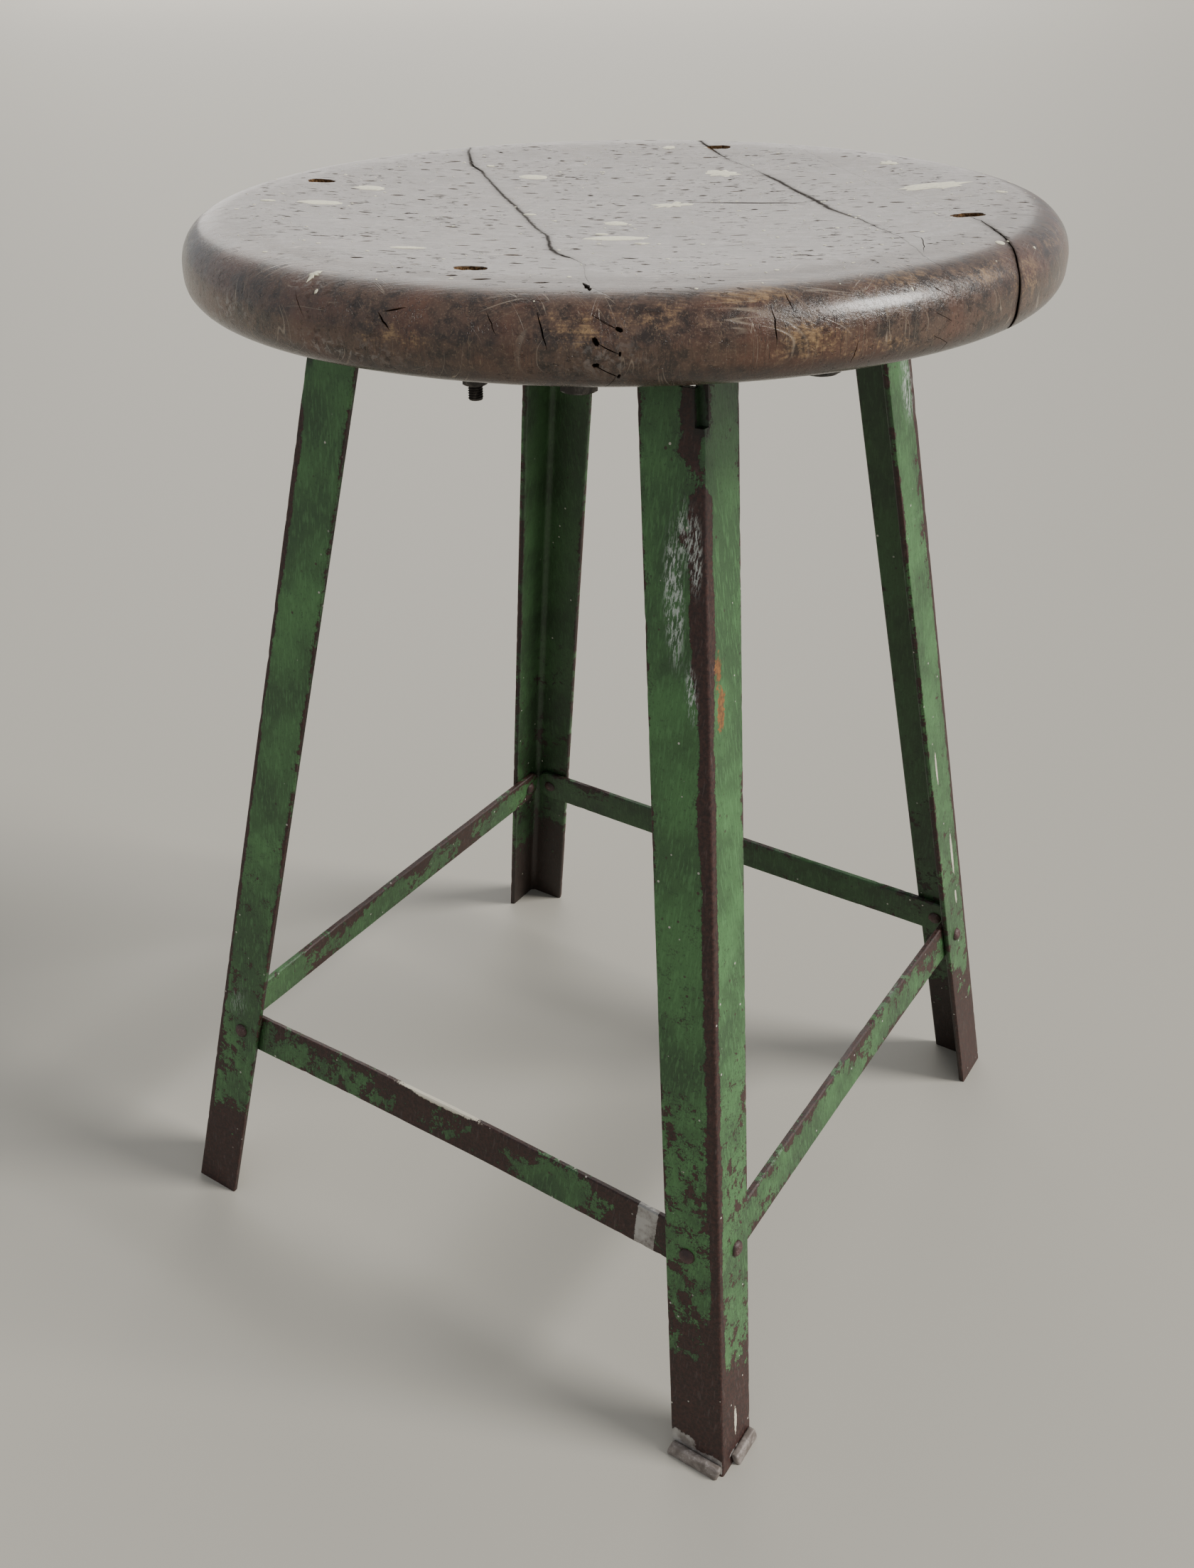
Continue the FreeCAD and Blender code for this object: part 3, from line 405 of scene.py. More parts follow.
def seat_wood():
    """Dark varnish over hardwood: worn dull and dented on top, its grey partly a painted reflection; rubbed
    to ochre here and there on the rim; dirt and painted shade in the cracks and holes, and painted shade low
    on the rim.
    """
    s = Shader("seat_wood")
    along = (0, 0, -GRAIN_AZIMUTH)
    rim = s.attribute("rim")
    deep = s.attribute("depth")
    bare = s.attribute("bare")
    pale = s.attribute("pale")
    grime_and_shade = s.attribute("grime_and_shade")
    top = s.step(rim, 0.66, 0.30)

    clouds = s.noise(26.0, 3.0, 0.6)
    mottle = s.noise(5.0, 6.0, 0.70, warp=0.4)
    grain = s.noise((34.0, 0.9, 0.9), 5.0, 0.65, along)
    pores = s.noise((5.0, 1.9, 1.9), 3.0, 0.6, along)
    speckle = s.noise(0.8, 3.0, 0.7)

    # the rim: nearly black varnish, brown and red-brown where thin, ochre where worn off
    brown = s.mix(s.step(mottle, 0.38, 0.60), (0.020, 0.010, 0.006), (0.082, 0.044, 0.027))
    brown = s.tint(brown, s.step(clouds, 0.46, 0.62), 0.6, (0.115, 0.044, 0.023))
    brown = s.tint(brown, s.step(speckle, 0.52, 0.68), 0.45, (0.210, 0.140, 0.088))
    rubbed = s.calc("ADD", s.times(bare, 0.40), s.times(mottle, 0.80))
    rubbed = s.vary(rubbed, grain, 0.35)
    rubbed = s.vary(rubbed, speckle, 0.40)
    ochre = s.mix(s.step(grain, 0.35, 0.65), (0.150, 0.086, 0.040), (0.360, 0.225, 0.105))
    side = s.tint(brown, s.step(rubbed, 0.58, 0.84), 0.85, ochre)

    # painted shade: the rim darkened towards its underside
    low = s.step(s.axis("Z"), (UNDERSIDE + 9) * MM, (UNDERSIDE + 1) * MM)
    side = s.tint(side, low, 0.7, (0.022, 0.008, 0.006))

    # the top: grey-brown, partly worn varnish and partly a painted reflection, darker in the pores
    dull = s.mix(s.step(clouds, 0.35, 0.65), (0.070, 0.050, 0.038), (0.112, 0.084, 0.066))
    dull = s.mix(s.step(grain, 0.60, 0.38), dull, (0.060, 0.043, 0.034))
    dull = s.tint(dull, s.step(mottle, 0.52, 0.68), 0.6, (0.155, 0.125, 0.105))
    dull = s.tint(dull, s.step(speckle, 0.60, 0.72), 0.5, (0.240, 0.205, 0.180))
    colour = s.mix(top, side, dull)

    dents = s.step(pores, 0.615, 0.645)
    dent_field = s.step(s.noise(34.0, 2.0, 0.5), 0.38, 0.56)
    dents = s.times(s.times(dents, dent_field), s.blend(top, 0.35, 1.0))
    colour = s.tint(colour, dents, 0.92, (0.020, 0.012, 0.009))

    scratches = [s.streaks(GRAIN_AZIMUTH + turn, length, width, amount)
                 for turn, length, width, amount in ((0.25, 60.0, 3.0, 0.08), (-0.5, 45.0, 2.6, 0.07),
                                                     (1.3, 50.0, 2.8, 0.06), (2.2, 38.0, 2.4, 0.07))]
    light = scratches[0]
    for more in scratches[1:]:
        light = s.calc("MAXIMUM", light, more)
    colour = s.mix(s.times(light, s.blend(top, 0.60, 0.45)), colour, (0.34, 0.27, 0.20))

    # upright hairlines on the rim, some dark and some light
    upright = s.noise((2.2, 2.2, 26.0), 2.0, 0.6)
    hair = s.near(upright, 0.5, 0.012)
    shine = s.near(upright, 0.585, 0.010)
    side_only = s.calc("SUBTRACT", 1.0, top)
    hair = s.times(s.times(hair, s.step(s.noise(13.0, 2.0), 0.48, 0.60)), side_only)
    shine = s.times(s.times(shine, s.step(s.noise(9.0, 2.0), 0.50, 0.62)), side_only)
    colour = s.tint(colour, hair, 0.75, (0.012, 0.007, 0.005))
    colour = s.tint(colour, shine, 0.55, (0.280, 0.200, 0.120))

    # whitish scuffs low on the rim
    scuffs = s.times(pale, s.step(s.noise(2.6, 4.0, 0.7, warp=0.8), 0.50, 0.62))
    colour = s.tint(colour, scuffs, 0.70, (0.36, 0.335, 0.31))

    # dirt beside the joints, and inside the cracks, dents and holes dark by depth, partly dirt and partly
    # painted shade
    well = s.attribute("well")
    dark = s.calc("MAXIMUM", s.step(deep, 0.04, 0.45), s.times(grime_and_shade, 0.9), clamp=True)
    colour = s.mix(dark, colour, (0.014, 0.009, 0.006))
    raw = s.mix(s.step(speckle, 0.38, 0.60), (0.050, 0.026, 0.013), (0.230, 0.130, 0.060))
    # painted shade: the bare wood in the wells darkens with depth
    raw = s.mix(s.step(deep, 1.5, 5.0), raw, (0.012, 0.008, 0.006))
    colour = s.mix(s.times(s.step(deep, 0.02, 0.2), well), colour, raw)
    s.set(Base_Color=colour)

    marks = s.calc("MAXIMUM", dark, dents, clamp=True)
    rough = s.blend(top, 0.26, 0.43)
    rough = s.vary(rough, mottle, 0.32)
    rough = s.calc("ADD", rough, s.times(scuffs, 0.25))
    rough = s.calc("MAXIMUM", rough, s.times(marks, 0.85), clamp=True)
    s.set(Roughness=rough, IOR=1.52, Coat_Roughness=0.20)
    s.set(Specular_IOR_Level=s.blend(marks, 0.5, 0.06))
    s.set(Coat_Weight=s.times(s.blend(marks, 0.42, 0.0), s.blend(top, 1.0, 0.5)))
    s.bump([(clouds, 0.6), (grain, 0.18), (speckle, 0.07), (dents, -0.6), (light, -0.08), (hair, -0.12)])
    return s.material


def chipped_enamel(name, worn, dull):
    """Green enamel over brown steel. worn moves the chips' edge; dull darkens the green."""
    s = Shader(name)
    gone = s.attribute("gone")
    scrape = s.attribute("scrape")
    rust = s.attribute("rust")
    metal = s.attribute("metal")
    drip = s.attribute("drip")
    grime_and_shade = s.attribute("grime_and_shade")

    broad = s.noise(34.0, 3.0, 0.55)
    patch = s.noise(7.0, 7.0, 0.66, warp=0.3)
    fine = s.noise(1.5, 5.0, 0.68)
    drag = s.noise((1.0, 1.0, 60.0), 3.0, 0.6)
    stipple = s.noise(0.7, 3.0, 0.7)

    loss = s.vary(gone, patch, 1.7)
    loss = s.vary(loss, broad, 0.5)
    loss = s.vary(loss, fine, 0.7)
    loss = s.calc("ADD", loss, worn)
    bare = s.step(loss, 0.50, 0.53)
    thin = s.times(s.step(loss, 0.18, 0.50), s.step(stipple, 0.46, 0.60))

    deep_green = (0.034 * dull, 0.088 * dull, 0.030 * dull)
    mid_green = (0.068 * dull, 0.185 * dull, 0.060 * dull)
    green = s.mix(s.step(broad, 0.35, 0.65), deep_green, mid_green)
    green = s.tint(green, s.step(drag, 0.50, 0.66), 0.40, (0.105, 0.270, 0.098))
    green = s.tint(green, s.step(fine, 0.58, 0.68), 0.50, (0.014, 0.028, 0.013))
    line = s.near(drag, 0.47, 0.012)
    green = s.tint(green, line, 0.55, (0.010, 0.022, 0.010))
    green = s.tint(green, thin, 0.80, (0.022, 0.018, 0.014))

    maroon = s.mix(s.step(fine, 0.36, 0.66), (0.018, 0.006, 0.005), (0.056, 0.021, 0.016))
    maroon = s.tint(maroon, s.step(patch, 0.56, 0.70), 0.5, (0.060, 0.029, 0.020))
    maroon = s.tint(maroon, s.step(drag, 0.56, 0.70), 0.40, (0.110, 0.078, 0.072))
    pits = s.times(s.dots(5.5, 0.13), s.step(s.noise(19.0, 2.0), 0.47, 0.56))
    colour = s.mix(s.calc("MAXIMUM", bare, s.times(pits, 0.85)), green, maroon)
    # grime and painted shade: darker on inner faces, under the ring, in the slit and on the back stretcher
    colour = s.tint(colour, grime_and_shade, 0.75, (0.010, 0.012, 0.008))

    orange = s.mix(s.step(fine, 0.35, 0.65), (0.130, 0.045, 0.014), (0.300, 0.120, 0.032))
    ragged = s.vary(s.times(s.calc("SUBTRACT", patch, 0.5), 1.5), fine, 1.0)
    rusty = s.step(s.calc("ADD", rust, ragged), 0.50, 0.66)
    colour = s.tint(colour, rusty, 0.9, orange)
    worn_metal = s.step(s.calc("ADD", metal, s.times(ragged, 0.5)), 0.45, 0.55)
    steel = s.mix(s.step(patch, 0.36, 0.62), (0.230, 0.205, 0.190), (0.450, 0.440, 0.420))
    colour = s.mix(worn_metal, colour, steel)

    white_lines = s.noise((0.8, 0.8, 8.0), 5.0, 0.75)
    scraped = s.times(s.step(scrape, 0.08, 0.6), s.step(white_lines, 0.49, 0.57))
    colour = s.tint(colour, scraped, 0.85, (0.56, 0.61, 0.57))
    dripped = s.step(s.vary(drip, fine, 0.5), 0.50, 0.58)
    colour = s.mix(dripped, colour, (0.62, 0.58, 0.47))

    specks = s.times(s.dots(7.0, 0.080), s.step(s.noise(30.0, 2.0, 0.5), 0.44, 0.54))
    colour = s.mix(specks, colour, (0.50, 0.48, 0.42))
    s.set(Base_Color=colour)

    rough = s.blend(bare, 0.40, 0.50)
    rough = s.vary(rough, fine, 0.35, clamp=True)
    s.set(Roughness=rough, IOR=1.48, Metallic=s.times(worn_metal, 0.5))
    s.bump([(broad, 0.7), (bare, -0.18), (fine, 0.08), (drag, 0.05), (stipple, 0.02), (dripped, 0.15)])
    return s.material


def old_steel(name, dark, mid, light, roughness, metal=0.0):
    """Oxidised or dull-painted steel: dark in the hollows, rubbed bright in places."""
    s = Shader(name)
    patch = s.noise(5.0, 5.0, 0.6, warp=0.4)
    fine = s.noise(0.8, 4.0, 0.65)
    colour = s.mix(s.step(patch, 0.36, 0.64), dark, mid)
    rubbed = s.times(s.step(fine, 0.54, 0.66), s.step(patch, 0.44, 0.62))
    colour = s.tint(colour, rubbed, 0.8, light)
    s.set(Base_Color=colour, Metallic=metal, IOR=1.5)
    s.set(Roughness=s.blend(patch, roughness - 0.12, roughness + 0.18))
    s.bump([(patch, 0.30), (fine, 0.08)])
    return s.material


def cream_paint():
    """Dried drops of cream paint, thin and dirty at the edges."""
    s = Shader("cream_paint")
    fine = s.noise(0.9, 4.0, 0.7)
    patch = s.noise(3.5, 3.0, 0.6)
    colour = s.mix(s.step(fine, 0.30, 0.50), (0.50, 0.46, 0.33), (0.80, 0.76, 0.58))
    colour = s.tint(colour, s.step(patch, 0.55, 0.72), 0.4, (0.45, 0.41, 0.32))
    s.set(Base_Color=colour, Roughness=s.blend(fine, 0.42, 0.68), IOR=1.48)
    s.bump([(patch, 0.10), (fine, 0.05)])
    return s.material


# ------------------------------------------------------------------------ seat

CREST_REACH = SEAT_RADIUS - CREST_ROUND
BETWEEN_CENTRES = (CREST_REACH ** 2 + SEAT_DISH ** 2) / (2 * SEAT_DISH)
DISH_RADIUS = BETWEEN_CENTRES - CREST_ROUND
DISH_LEVEL = SEAT_TOP - SEAT_DISH + DISH_RADIUS
CREST_LEVEL = SEAT_TOP - CREST_ROUND
MEET_RADIUS = CREST_REACH * DISH_RADIUS / BETWEEN_CENTRES


def on_top(x, y):
    """Point and normal of the unworn seat, seen from above."""
    r = math.hypot(x, y)
    out = (x / r, y / r) if r else (0.0, 0.0)
    if r < MEET_RADIUS:
        drop = math.sqrt(DISH_RADIUS ** 2 - r * r)
        z = DISH_LEVEL - drop
        slope = (-r / DISH_RADIUS, drop / DISH_RADIUS)
    else:
        rise = math.sqrt(max(CREST_ROUND ** 2 - (r - CREST_REACH) ** 2, 0.0))
        z = CREST_LEVEL + rise
        slope = ((r - CREST_REACH) / CREST_ROUND, rise / CREST_ROUND)
    return np.array([x, y, z]), np.array([out[0] * slope[0], out[1] * slope[0], slope[1]])


def on_rim(azimuth, z):
    """Point and normal of the unworn seat, seen from the side."""
    a = math.radians(azimuth)
    if z > CREST_LEVEL:
        rise = min(z - CREST_LEVEL, CREST_ROUND)
        slope = (math.sqrt(CREST_ROUND ** 2 - rise ** 2) / CREST_ROUND, rise / CREST_ROUND)
        r = CREST_REACH + CREST_ROUND * slope[0]
    elif z < UNDERSIDE + UNDER_ROUND:
        fall = max(z - UNDERSIDE - UNDER_ROUND, -UNDER_ROUND)
        slope = (math.sqrt(UNDER_ROUND ** 2 - fall ** 2) / UNDER_ROUND, fall / UNDER_ROUND)
        r = SEAT_RADIUS - UNDER_ROUND + UNDER_ROUND * slope[0]
    else:
        slope = (1.0, 0.0)
        r = SEAT_RADIUS
    point = np.array([r * math.cos(a), r * math.sin(a), z])
    return point, np.array([slope[0] * math.cos(a), slope[0] * math.sin(a), slope[1]])


def arc_points(centre, radius, start, end, step):
    """Points of an arc in the (r, z) plane, from one angle to another, in degrees."""
    count = max(2, round(radius * math.radians(abs(end - start)) / step))
    return [(centre[0] + radius * math.cos(math.radians(a)), centre[1] + radius * math.sin(math.radians(a)))
            for a in np.linspace(start, end, count + 1)]


def seat_profile():
    """Half section of the seat, from the middle of the top to the middle of the underside."""
    meet_angle = math.degrees(math.asin(MEET_RADIUS / DISH_RADIUS))
    dish = arc_points((0, DISH_LEVEL), DISH_RADIUS, -90, -90 + meet_angle, SEAT_STEP)
    crest = arc_points((CREST_REACH, CREST_LEVEL), CREST_ROUND, 90 + meet_angle, 0, SEAT_STEP * 0.6)
    low = UNDERSIDE + UNDER_ROUND
    side = [(SEAT_RADIUS, z) for z in np.linspace(CREST_LEVEL, low, 4)]
    under = arc_points((SEAT_RADIUS - UNDER_ROUND, low), UNDER_ROUND, 0, -90, SEAT_STEP * 0.6)
    floor = [(r, UNDERSIDE) for r in np.linspace(SEAT_RADIUS - UNDER_ROUND, 0, 30)]
    return dish + crest[1:] + side[1:] + under[1:] + floor[1:]


def sink_at(points):
    """How far wear has sunk the seat's surface near each point, most of all round the crest."""
    r = np.hypot(points[:, 0], points[:, 1])
    sink = 0.30 * (0.5 + 0.5 * wobble(points, 31.0, 3.0)) + 0.10 * (0.5 + 0.5 * wobble(points, 9.0, 8.0))
    crest = 1.25 * np.exp(-((r - CREST_REACH - 1.5) / 9.5) ** 2)
    crest *= smooth(CREST_LEVEL, SEAT_TOP - 4, points[:, 2])
    return (sink + crest) * smooth(UNDERSIDE + 0.5, UNDERSIDE + 4, points[:, 2])


def settled(points):
    """Sinks points of the seat inwards a little, unevenly, as wear has."""
    points = np.asarray(points, float)
    r = np.hypot(points[:, 0], points[:, 1])
    middle = np.array([0.0, 0.0, (SEAT_TOP + UNDERSIDE) / 2])
    ring = np.stack([points[:, 0] * CREST_REACH / np.maximum(r, CREST_REACH),
                     points[:, 1] * CREST_REACH / np.maximum(r, CREST_REACH),
                     np.full(len(points), middle[2])], axis=1)
    inward = ring - points
    inward /= np.maximum(np.linalg.norm(inward, axis=1, keepdims=True), 1e-6)
    return points + inward * sink_at(points)[:, None]


def sliver(spots, half_width, depth, lift=1.2):
    """A closed wedge along (point, normal) spots, to cut a crack or a dent with."""
    count = len(spots)
    points = [p for p, _ in spots]
    vertices = []
    for i, (point, normal) in enumerate(spots):
        ahead = points[min(i + 1, count - 1)] - points[max(i - 1, 0)]
        side = np.cross(normal, ahead)
        side /= np.linalg.norm(side)
        taper = max(0.06, math.sin(math.pi * (i + 0.35) / (count - 0.3)) ** 0.6)
        wide = half_width * taper * (1 + lift / depth)
        vertices += [tuple(point + normal * lift + side * wide), tuple(point + normal * lift - side * wide),
                     tuple(point - normal * depth * taper)]
    faces = [(0, 1, 2), tuple(3 * (count - 1) + k for k in (0, 2, 1))]
    for i in range(count - 1):
        for k in range(3):
            m = (k + 1) % 3
            faces.append((3 * i + k, 3 * i + 3 + k, 3 * i + 3 + m, 3 * i + m))
    return vertices, faces


def top_crack(ends, half_width, depth, bends, stray=0.8):
    """A crack along the top through (x, y) points, with a slight natural stray."""
    ends = np.array(ends, float)
    shares = np.linspace(0, len(ends) - 1, bends * (len(ends) - 1) + 1)
    path = np.stack([np.interp(shares, range(len(ends)), ends[:, k]) for k in (0, 1)], axis=1)
    path[1:-1] += random.uniform(-stray, stray, (len(path) - 2, 2)) * 0.4
    return sliver([on_top(x, y) for x, y in path], half_width, depth)


def rim_crack(azimuth, z_high, z_low, half_width, depth, tilt):
    """A crack down the rim; tilt is how far it leans, in degrees of azimuth."""
    steps = np.linspace(0, 1, 7)
    spots = [on_rim(azimuth + tilt * t + random.uniform(-0.08, 0.08), z_high + (z_low - z_high) * t)
             for t in steps]
    return sliver(spots, half_width, depth)


BOLTS = [f"seat_bolt_{number}" for number in range(1, 5)]


def bolt_centres():
    centres = []
    for bolt in BOLTS:
        low, high = box_mm(bolt)
        centres.append(((low[0] + high[0]) / 2, (low[1] + high[1]) / 2, high[2]))
    return centres


HEAD_LEVEL = bolt_centres()[0][2] - BOLT_HEAD_HEIGHT


def ragged_hole(x, y):
    """The broken-out well over a sunk bolt head."""
    count = 26
    rings = []
    for z, base, rough in ((SEAT_TOP + 2, 5.2, 2.2), (SEAT_TOP - 2.2, 4.6, 1.8), (SEAT_TOP - 5.0, 4.4, 0.9),
                           (SEAT_TOP - 8, 4.6, 0.05), (HEAD_LEVEL, 4.6, 0.0)):
        ring = []
        for k in range(count):
            a = 2 * math.pi * k / count
            way = Vector((x + 4 * math.cos(a), y + 4 * math.sin(a), z))
            r = base + rough * noise.noise(way / 2.2)
            r = max(r, 4.3) * (1 + 0.2 * min(rough, 1) * math.cos(2 * (a - GRAIN_AZIMUTH)))
            ring.append((x + r * math.cos(a), y + r * math.sin(a), z))
        rings.append(ring)
    return tube(rings)


# Cracks in the top: ((x, y) points, half width, depth, bends and stray).
TOP_CRACKS = [([(19.0, 20.6), (41.0, 28.0), (63.5, 35.2)], 0.95, 2.8, 9, 0.5),
              ([(71.4, -53.8), (76.5, -49.5), (80.9, -46.0)], 0.28, 1.2, 4),
              ([(104.0, 28.5), (112.0, 31.0), (119.0, 33.5)], 0.22, 1.2, 4),
              ([(136.0, 29.0), (143.0, 34.0), (150.0, 36.5)], 0.20, 1.0, 4),
              ([(121.0, -13.0), (128.0, -20.0), (134.0, -33.0), (137.0, -41.0)], 0.16, 0.8, 3),
              ([(66.0, -128.0), (70.0, -131.5), (72.5, -134.0)], 0.9, 1.6, 4)]
# Cracks down the rim: (azimuth, upper z, lower z, half width, depth, tilt in degrees of azimuth).
RIM_CRACKS = [(-42.6, 474.5, 464.0, 0.24, 1.6, 0.4), (-40.7, 477.5, 472.5, 0.20, 1.0, 0.5),
              (-66.8, 474.5, 464.5, 0.26, 1.5, 1.2), (-72.2, 474.0, 468.0, 0.18, 0.9, 1.3),
              (-84.7, 471.5, 467.0, 0.35, 1.2, 1.8), (-81.4, 473.5, 471.8, 0.30, 1.0, -2.6),
              (-97.0, 474.0, 467.0, 0.16, 0.8, 2.4), (-33.0, 463.0, 456.0, 0.16, 0.9, -0.5),
              (24.0, 472.0, 462.0, 0.22, 1.2, 0.6), (96.0, 470.0, 460.0, 0.24, 1.3, -0.8),
              (151.0, 474.0, 465.0, 0.20, 1.1, 0.9), (-158.0, 471.0, 462.5, 0.20, 1.0, -0.7)]


def seat_scars():
    """Everything that is cut into the seat: cracks, dents and short rim splits."""
    grain = np.array([math.cos(GRAIN_AZIMUTH), math.sin(GRAIN_AZIMUTH)])
    parts = [top_crack(*crack) for crack in TOP_CRACKS]
    parts += [rim_crack(*crack) for crack in RIM_CRACKS]
    taken = [(x, y, 7.5) for x, y, _ in bolt_centres()]
    wanted = DENTS
    while wanted:
        r = 150 * math.sqrt(random.uniform(0.0, 1.0))
        a = random.uniform(0, 2 * math.pi)
        x, y = r * math.cos(a), r * math.sin(a)
        length = random.uniform(1.8, 6.5)
        density = 0.30 + 0.70 * math.exp(-((x + 45) ** 2 + (y + 12) ** 2) / 62 ** 2)
        u, v = (x + y) / math.sqrt(2), (x - y) / math.sqrt(2)
        near_joint = min(abs(u + 37), abs(u - 70), abs(u - 105)) < 6
        clash = any(math.hypot(x - p, y - q) < reach + length for p, q, reach in taken)
        on_split = abs((y - 20.6) - (x - 19.0) * 0.33) < 5 and 12 < x < 72
        if near_joint or clash or on_split or random.uniform(0, 1) > density or v > 145:
            continue
        turn = random.normal(0, 0.16)
        way = np.array([grain[0] * math.cos(turn) - grain[1] * math.sin(turn),
                        grain[0] * math.sin(turn) + grain[1] * math.cos(turn)])
        ends = [np.array([x, y]) + way * length * t for t in (-0.5, 0.0, 0.5)]
        parts.append(top_crack(ends, random.uniform(0.35, 1.15), random.uniform(0.6, 1.3), 2, 0.3))
        taken.append((x, y, length))
        wanted -= 1
    return parts


# Wander of each joint's line along the seat, from its straight CAD line: (along, sideways) in mm.
WANDER_A = [(-170, 4), (-141, 2.6), (-100, -5.2), (-62, -2.4), (-13, 0.6), (39, -0.8), (50, -0.4),
            (77, -6.2), (87, -6.6), (97, -3), (110, -0.4), (116, -1.6), (130, -3), (143, -5), (150, -3.6),
            (170, -3.5)]
WANDER_B = [(-170, 3), (-148, 2), (-112, -1.6), (-82, -4), (-55, -1), (-27, 1.6), (15, 1.2), (35, -0.4),
            (77, -0.2), (100, 0.6), (117, -1.6), (136, -5), (170, -5)]
WANDER_C = [(-170, 0), (0, 1.5), (61, 3.8), (90, 1.6), (113, -1.8), (126, -4.0), (170, -5.2)]
# Half the gap of each joint at the top: (along, mm).
GAP_A = [(-170, 0.12), (-120, 0.22), (-100, 0.42), (-80, 0.20), (-20, 0.24), (45, 0.20), (70, 0.26),
         (80, 0.42), (92, 0.34), (98, 0.10), (130, 0.08), (140, 0.05), (170, 0.05)]
GAP_B = [(-170, 0.12), (-112, 0.32), (-84, 0.14), (-52, 0.10), (-30, 0.36), (-10, 0.28), (5, 0.46),
         (30, 0.40), (40, 0.22), (84, 0.12), (100, 0.06), (170, 0.05)]
GAP_C = [(-170, 0.03), (66, 0.03), (80, 0.14), (113, 0.28), (130, 0.38), (170, 0.45)]


def finger_profile(joint):
    """A finger joint's (across, height) corners, from below the seat to above it."""
    corners = [(joint, UNDERSIDE - 7)]
    for half in range(2 * FINGERS):
        across = joint if half % 2 else joint + FINGER_DEPTH
        settling = 1.9 * (1 - half / 5.5)
        corners.append((across, UNDERSIDE + FINGER_START + half * FINGER_PITCH / 2 + settling))
    return corners + [(joint, SEAT_TOP + 9)]


def plain_profile(joint):
    return [(joint, UNDERSIDE - 7), (joint, UNDERSIDE + 3), (joint, UNDERSIDE + 12), (joint, SEAT_TOP - 8),
            (joint, SEAT_TOP + 9)]


# Each joint: section, wander, gap, how far its right wall is lifted at the rim, how far it gapes low down.
JOINTS = [(finger_profile(JOINT_A), WANDER_A, GAP_A, 0.06, 0.0),
          (finger_profile(JOINT_B), WANDER_B, GAP_B, 0.05, 0.0),
          (plain_profile(JOINT_C), WANDER_C, GAP_C, 0.0, 0.45)]


def joint_wall(joint, side, v):
    """One wall of a joint at a distance along it: side is -1 for the left board's, 1 for the right's."""
    profile, wander, gap, lift, spread = joint
    jag = noise.noise(Vector((v / 3.2, profile[0][0], 0))) + 0.6 * noise.noise(Vector((v / 9.0, 5, 0)))
    drift = np.interp(v, *zip(*wander)) + 0.8 * jag
    half = np.interp(v, *zip(*gap)) * (1 + 0.7 * noise.noise(Vector((v / 4.0, 3, profile[0][0]))))
    at_rim = float(smooth(138, 152, abs(v)))
    wall = []
    for across, z in profile:
        low = float(smooth(SEAT_TOP - 1, SEAT_TOP - 7, z))
        open_low = spread * float(smooth(110, 132, v)) * float(smooth(SEAT_TOP - 8, UNDERSIDE + 4, z))
        share = lift * at_rim * low
        shift_z = share * (side > 0) if UNDERSIDE - 5 < z < SEAT_TOP else 0.0
        shift_u = side * (half + open_low) + (1.6 * share if side > 0 else 0.0)
        wall.append((across + drift + shift_u, z + shift_z))
    return wall


def across_joint(joint, v, z):
    """Where a joint's middle line is, across the seat."""
    profile, wander = joint[0], joint[1]
    heights = [height for _, height in profile]
    return np.interp(z, heights, [across for across, _ in profile]) + np.interp(v, *zip(*wander))


def joint_grime(points):
    """Dirt in and beside the joints, 1 at a joint and fading within 2 mm."""
    u = (points[:, 0] + points[:, 1]) / math.sqrt(2)
    v = (points[:, 0] - points[:, 1]) / math.sqrt(2)
    dirt = np.zeros(len(points))
    for joint in JOINTS:
        away = np.abs(u - across_joint(joint, v, points[:, 2]))
        gap = np.interp(v, *zip(*joint[2]))
        dirt = np.maximum(dirt, smooth(0.02, 0.25, gap) * np.exp(-np.maximum(away - gap - 0.2, 0) / 0.7))
    return dirt


def near_wells(points):
    """1 in the wells over the bolts and nothing 2 mm outside them."""
    nearest = np.full(len(points), 1e9)
    for x, y, _ in bolt_centres():
        nearest = np.minimum(nearest, np.hypot(points[:, 0] - x, points[:, 1] - y))
    return smooth(7.5, 6.0, nearest)


def open_fingers():
    """Cuts for the opened upper edges of the first joint's fingers on the front of the rim."""
    parts = []
    for high, half_width, pits in ((5, 0.13, (0.4, 1.1)), (3, 0.19, (1.25, 0.7)), (1, 0.22, (1.0, 0.8))):
        corners = JOINTS[0][0]
        ends = [(corners[high + 1][0], corners[high + 1][1]), (corners[high][0], corners[high][1])]
        spots = []
        for share in np.linspace(-0.02, 1.02, 9):
            z = ends[0][1] + (ends[1][1] - ends[0][1]) * (share + 0.10 * math.sin(math.pi * share))
            u = ends[0][0] + (ends[1][0] - ends[0][0]) * share + WANDER_A[-1][1]
            spots.append(rim_at(u, z))
        parts.append(sliver(spots, half_width, 2.6))
        for (point, normal), size in zip((spots[0], spots[-1]), pits):
            parts.append(pit(point, normal, size))
    return parts


def rim_at(u, z):
    """Point and normal on the front of the rim, at a distance across the seat and a height."""
    r = np.linalg.norm(on_rim(0, z)[0][:2])
    v = math.sqrt(r * r - u * u)
    return on_rim(math.degrees(math.atan2(u - v, u + v)), z)


def pit(point, normal, size):
    """A small ragged cone that cuts a pit."""
    side = Vector(normal).orthogonal().normalized()
    other = Vector(normal).cross(side)
    rings = []
    for lift, share in ((1.0, 1.15), (0.0, 1.0), (-1.1, 0.55), (-1.8, 0.1)):
        ring = []
        for k in range(9):
            a = 2 * math.pi * k / 9
            reach = size * share * (1 + 0.35 * math.sin(2 * a + size * 9))
            ring.append(tuple(Vector(point) + Vector(normal) * lift * size
                              + (side * math.cos(a) + other * math.sin(a)) * reach))
        rings.append(ring)
    return tube(rings)


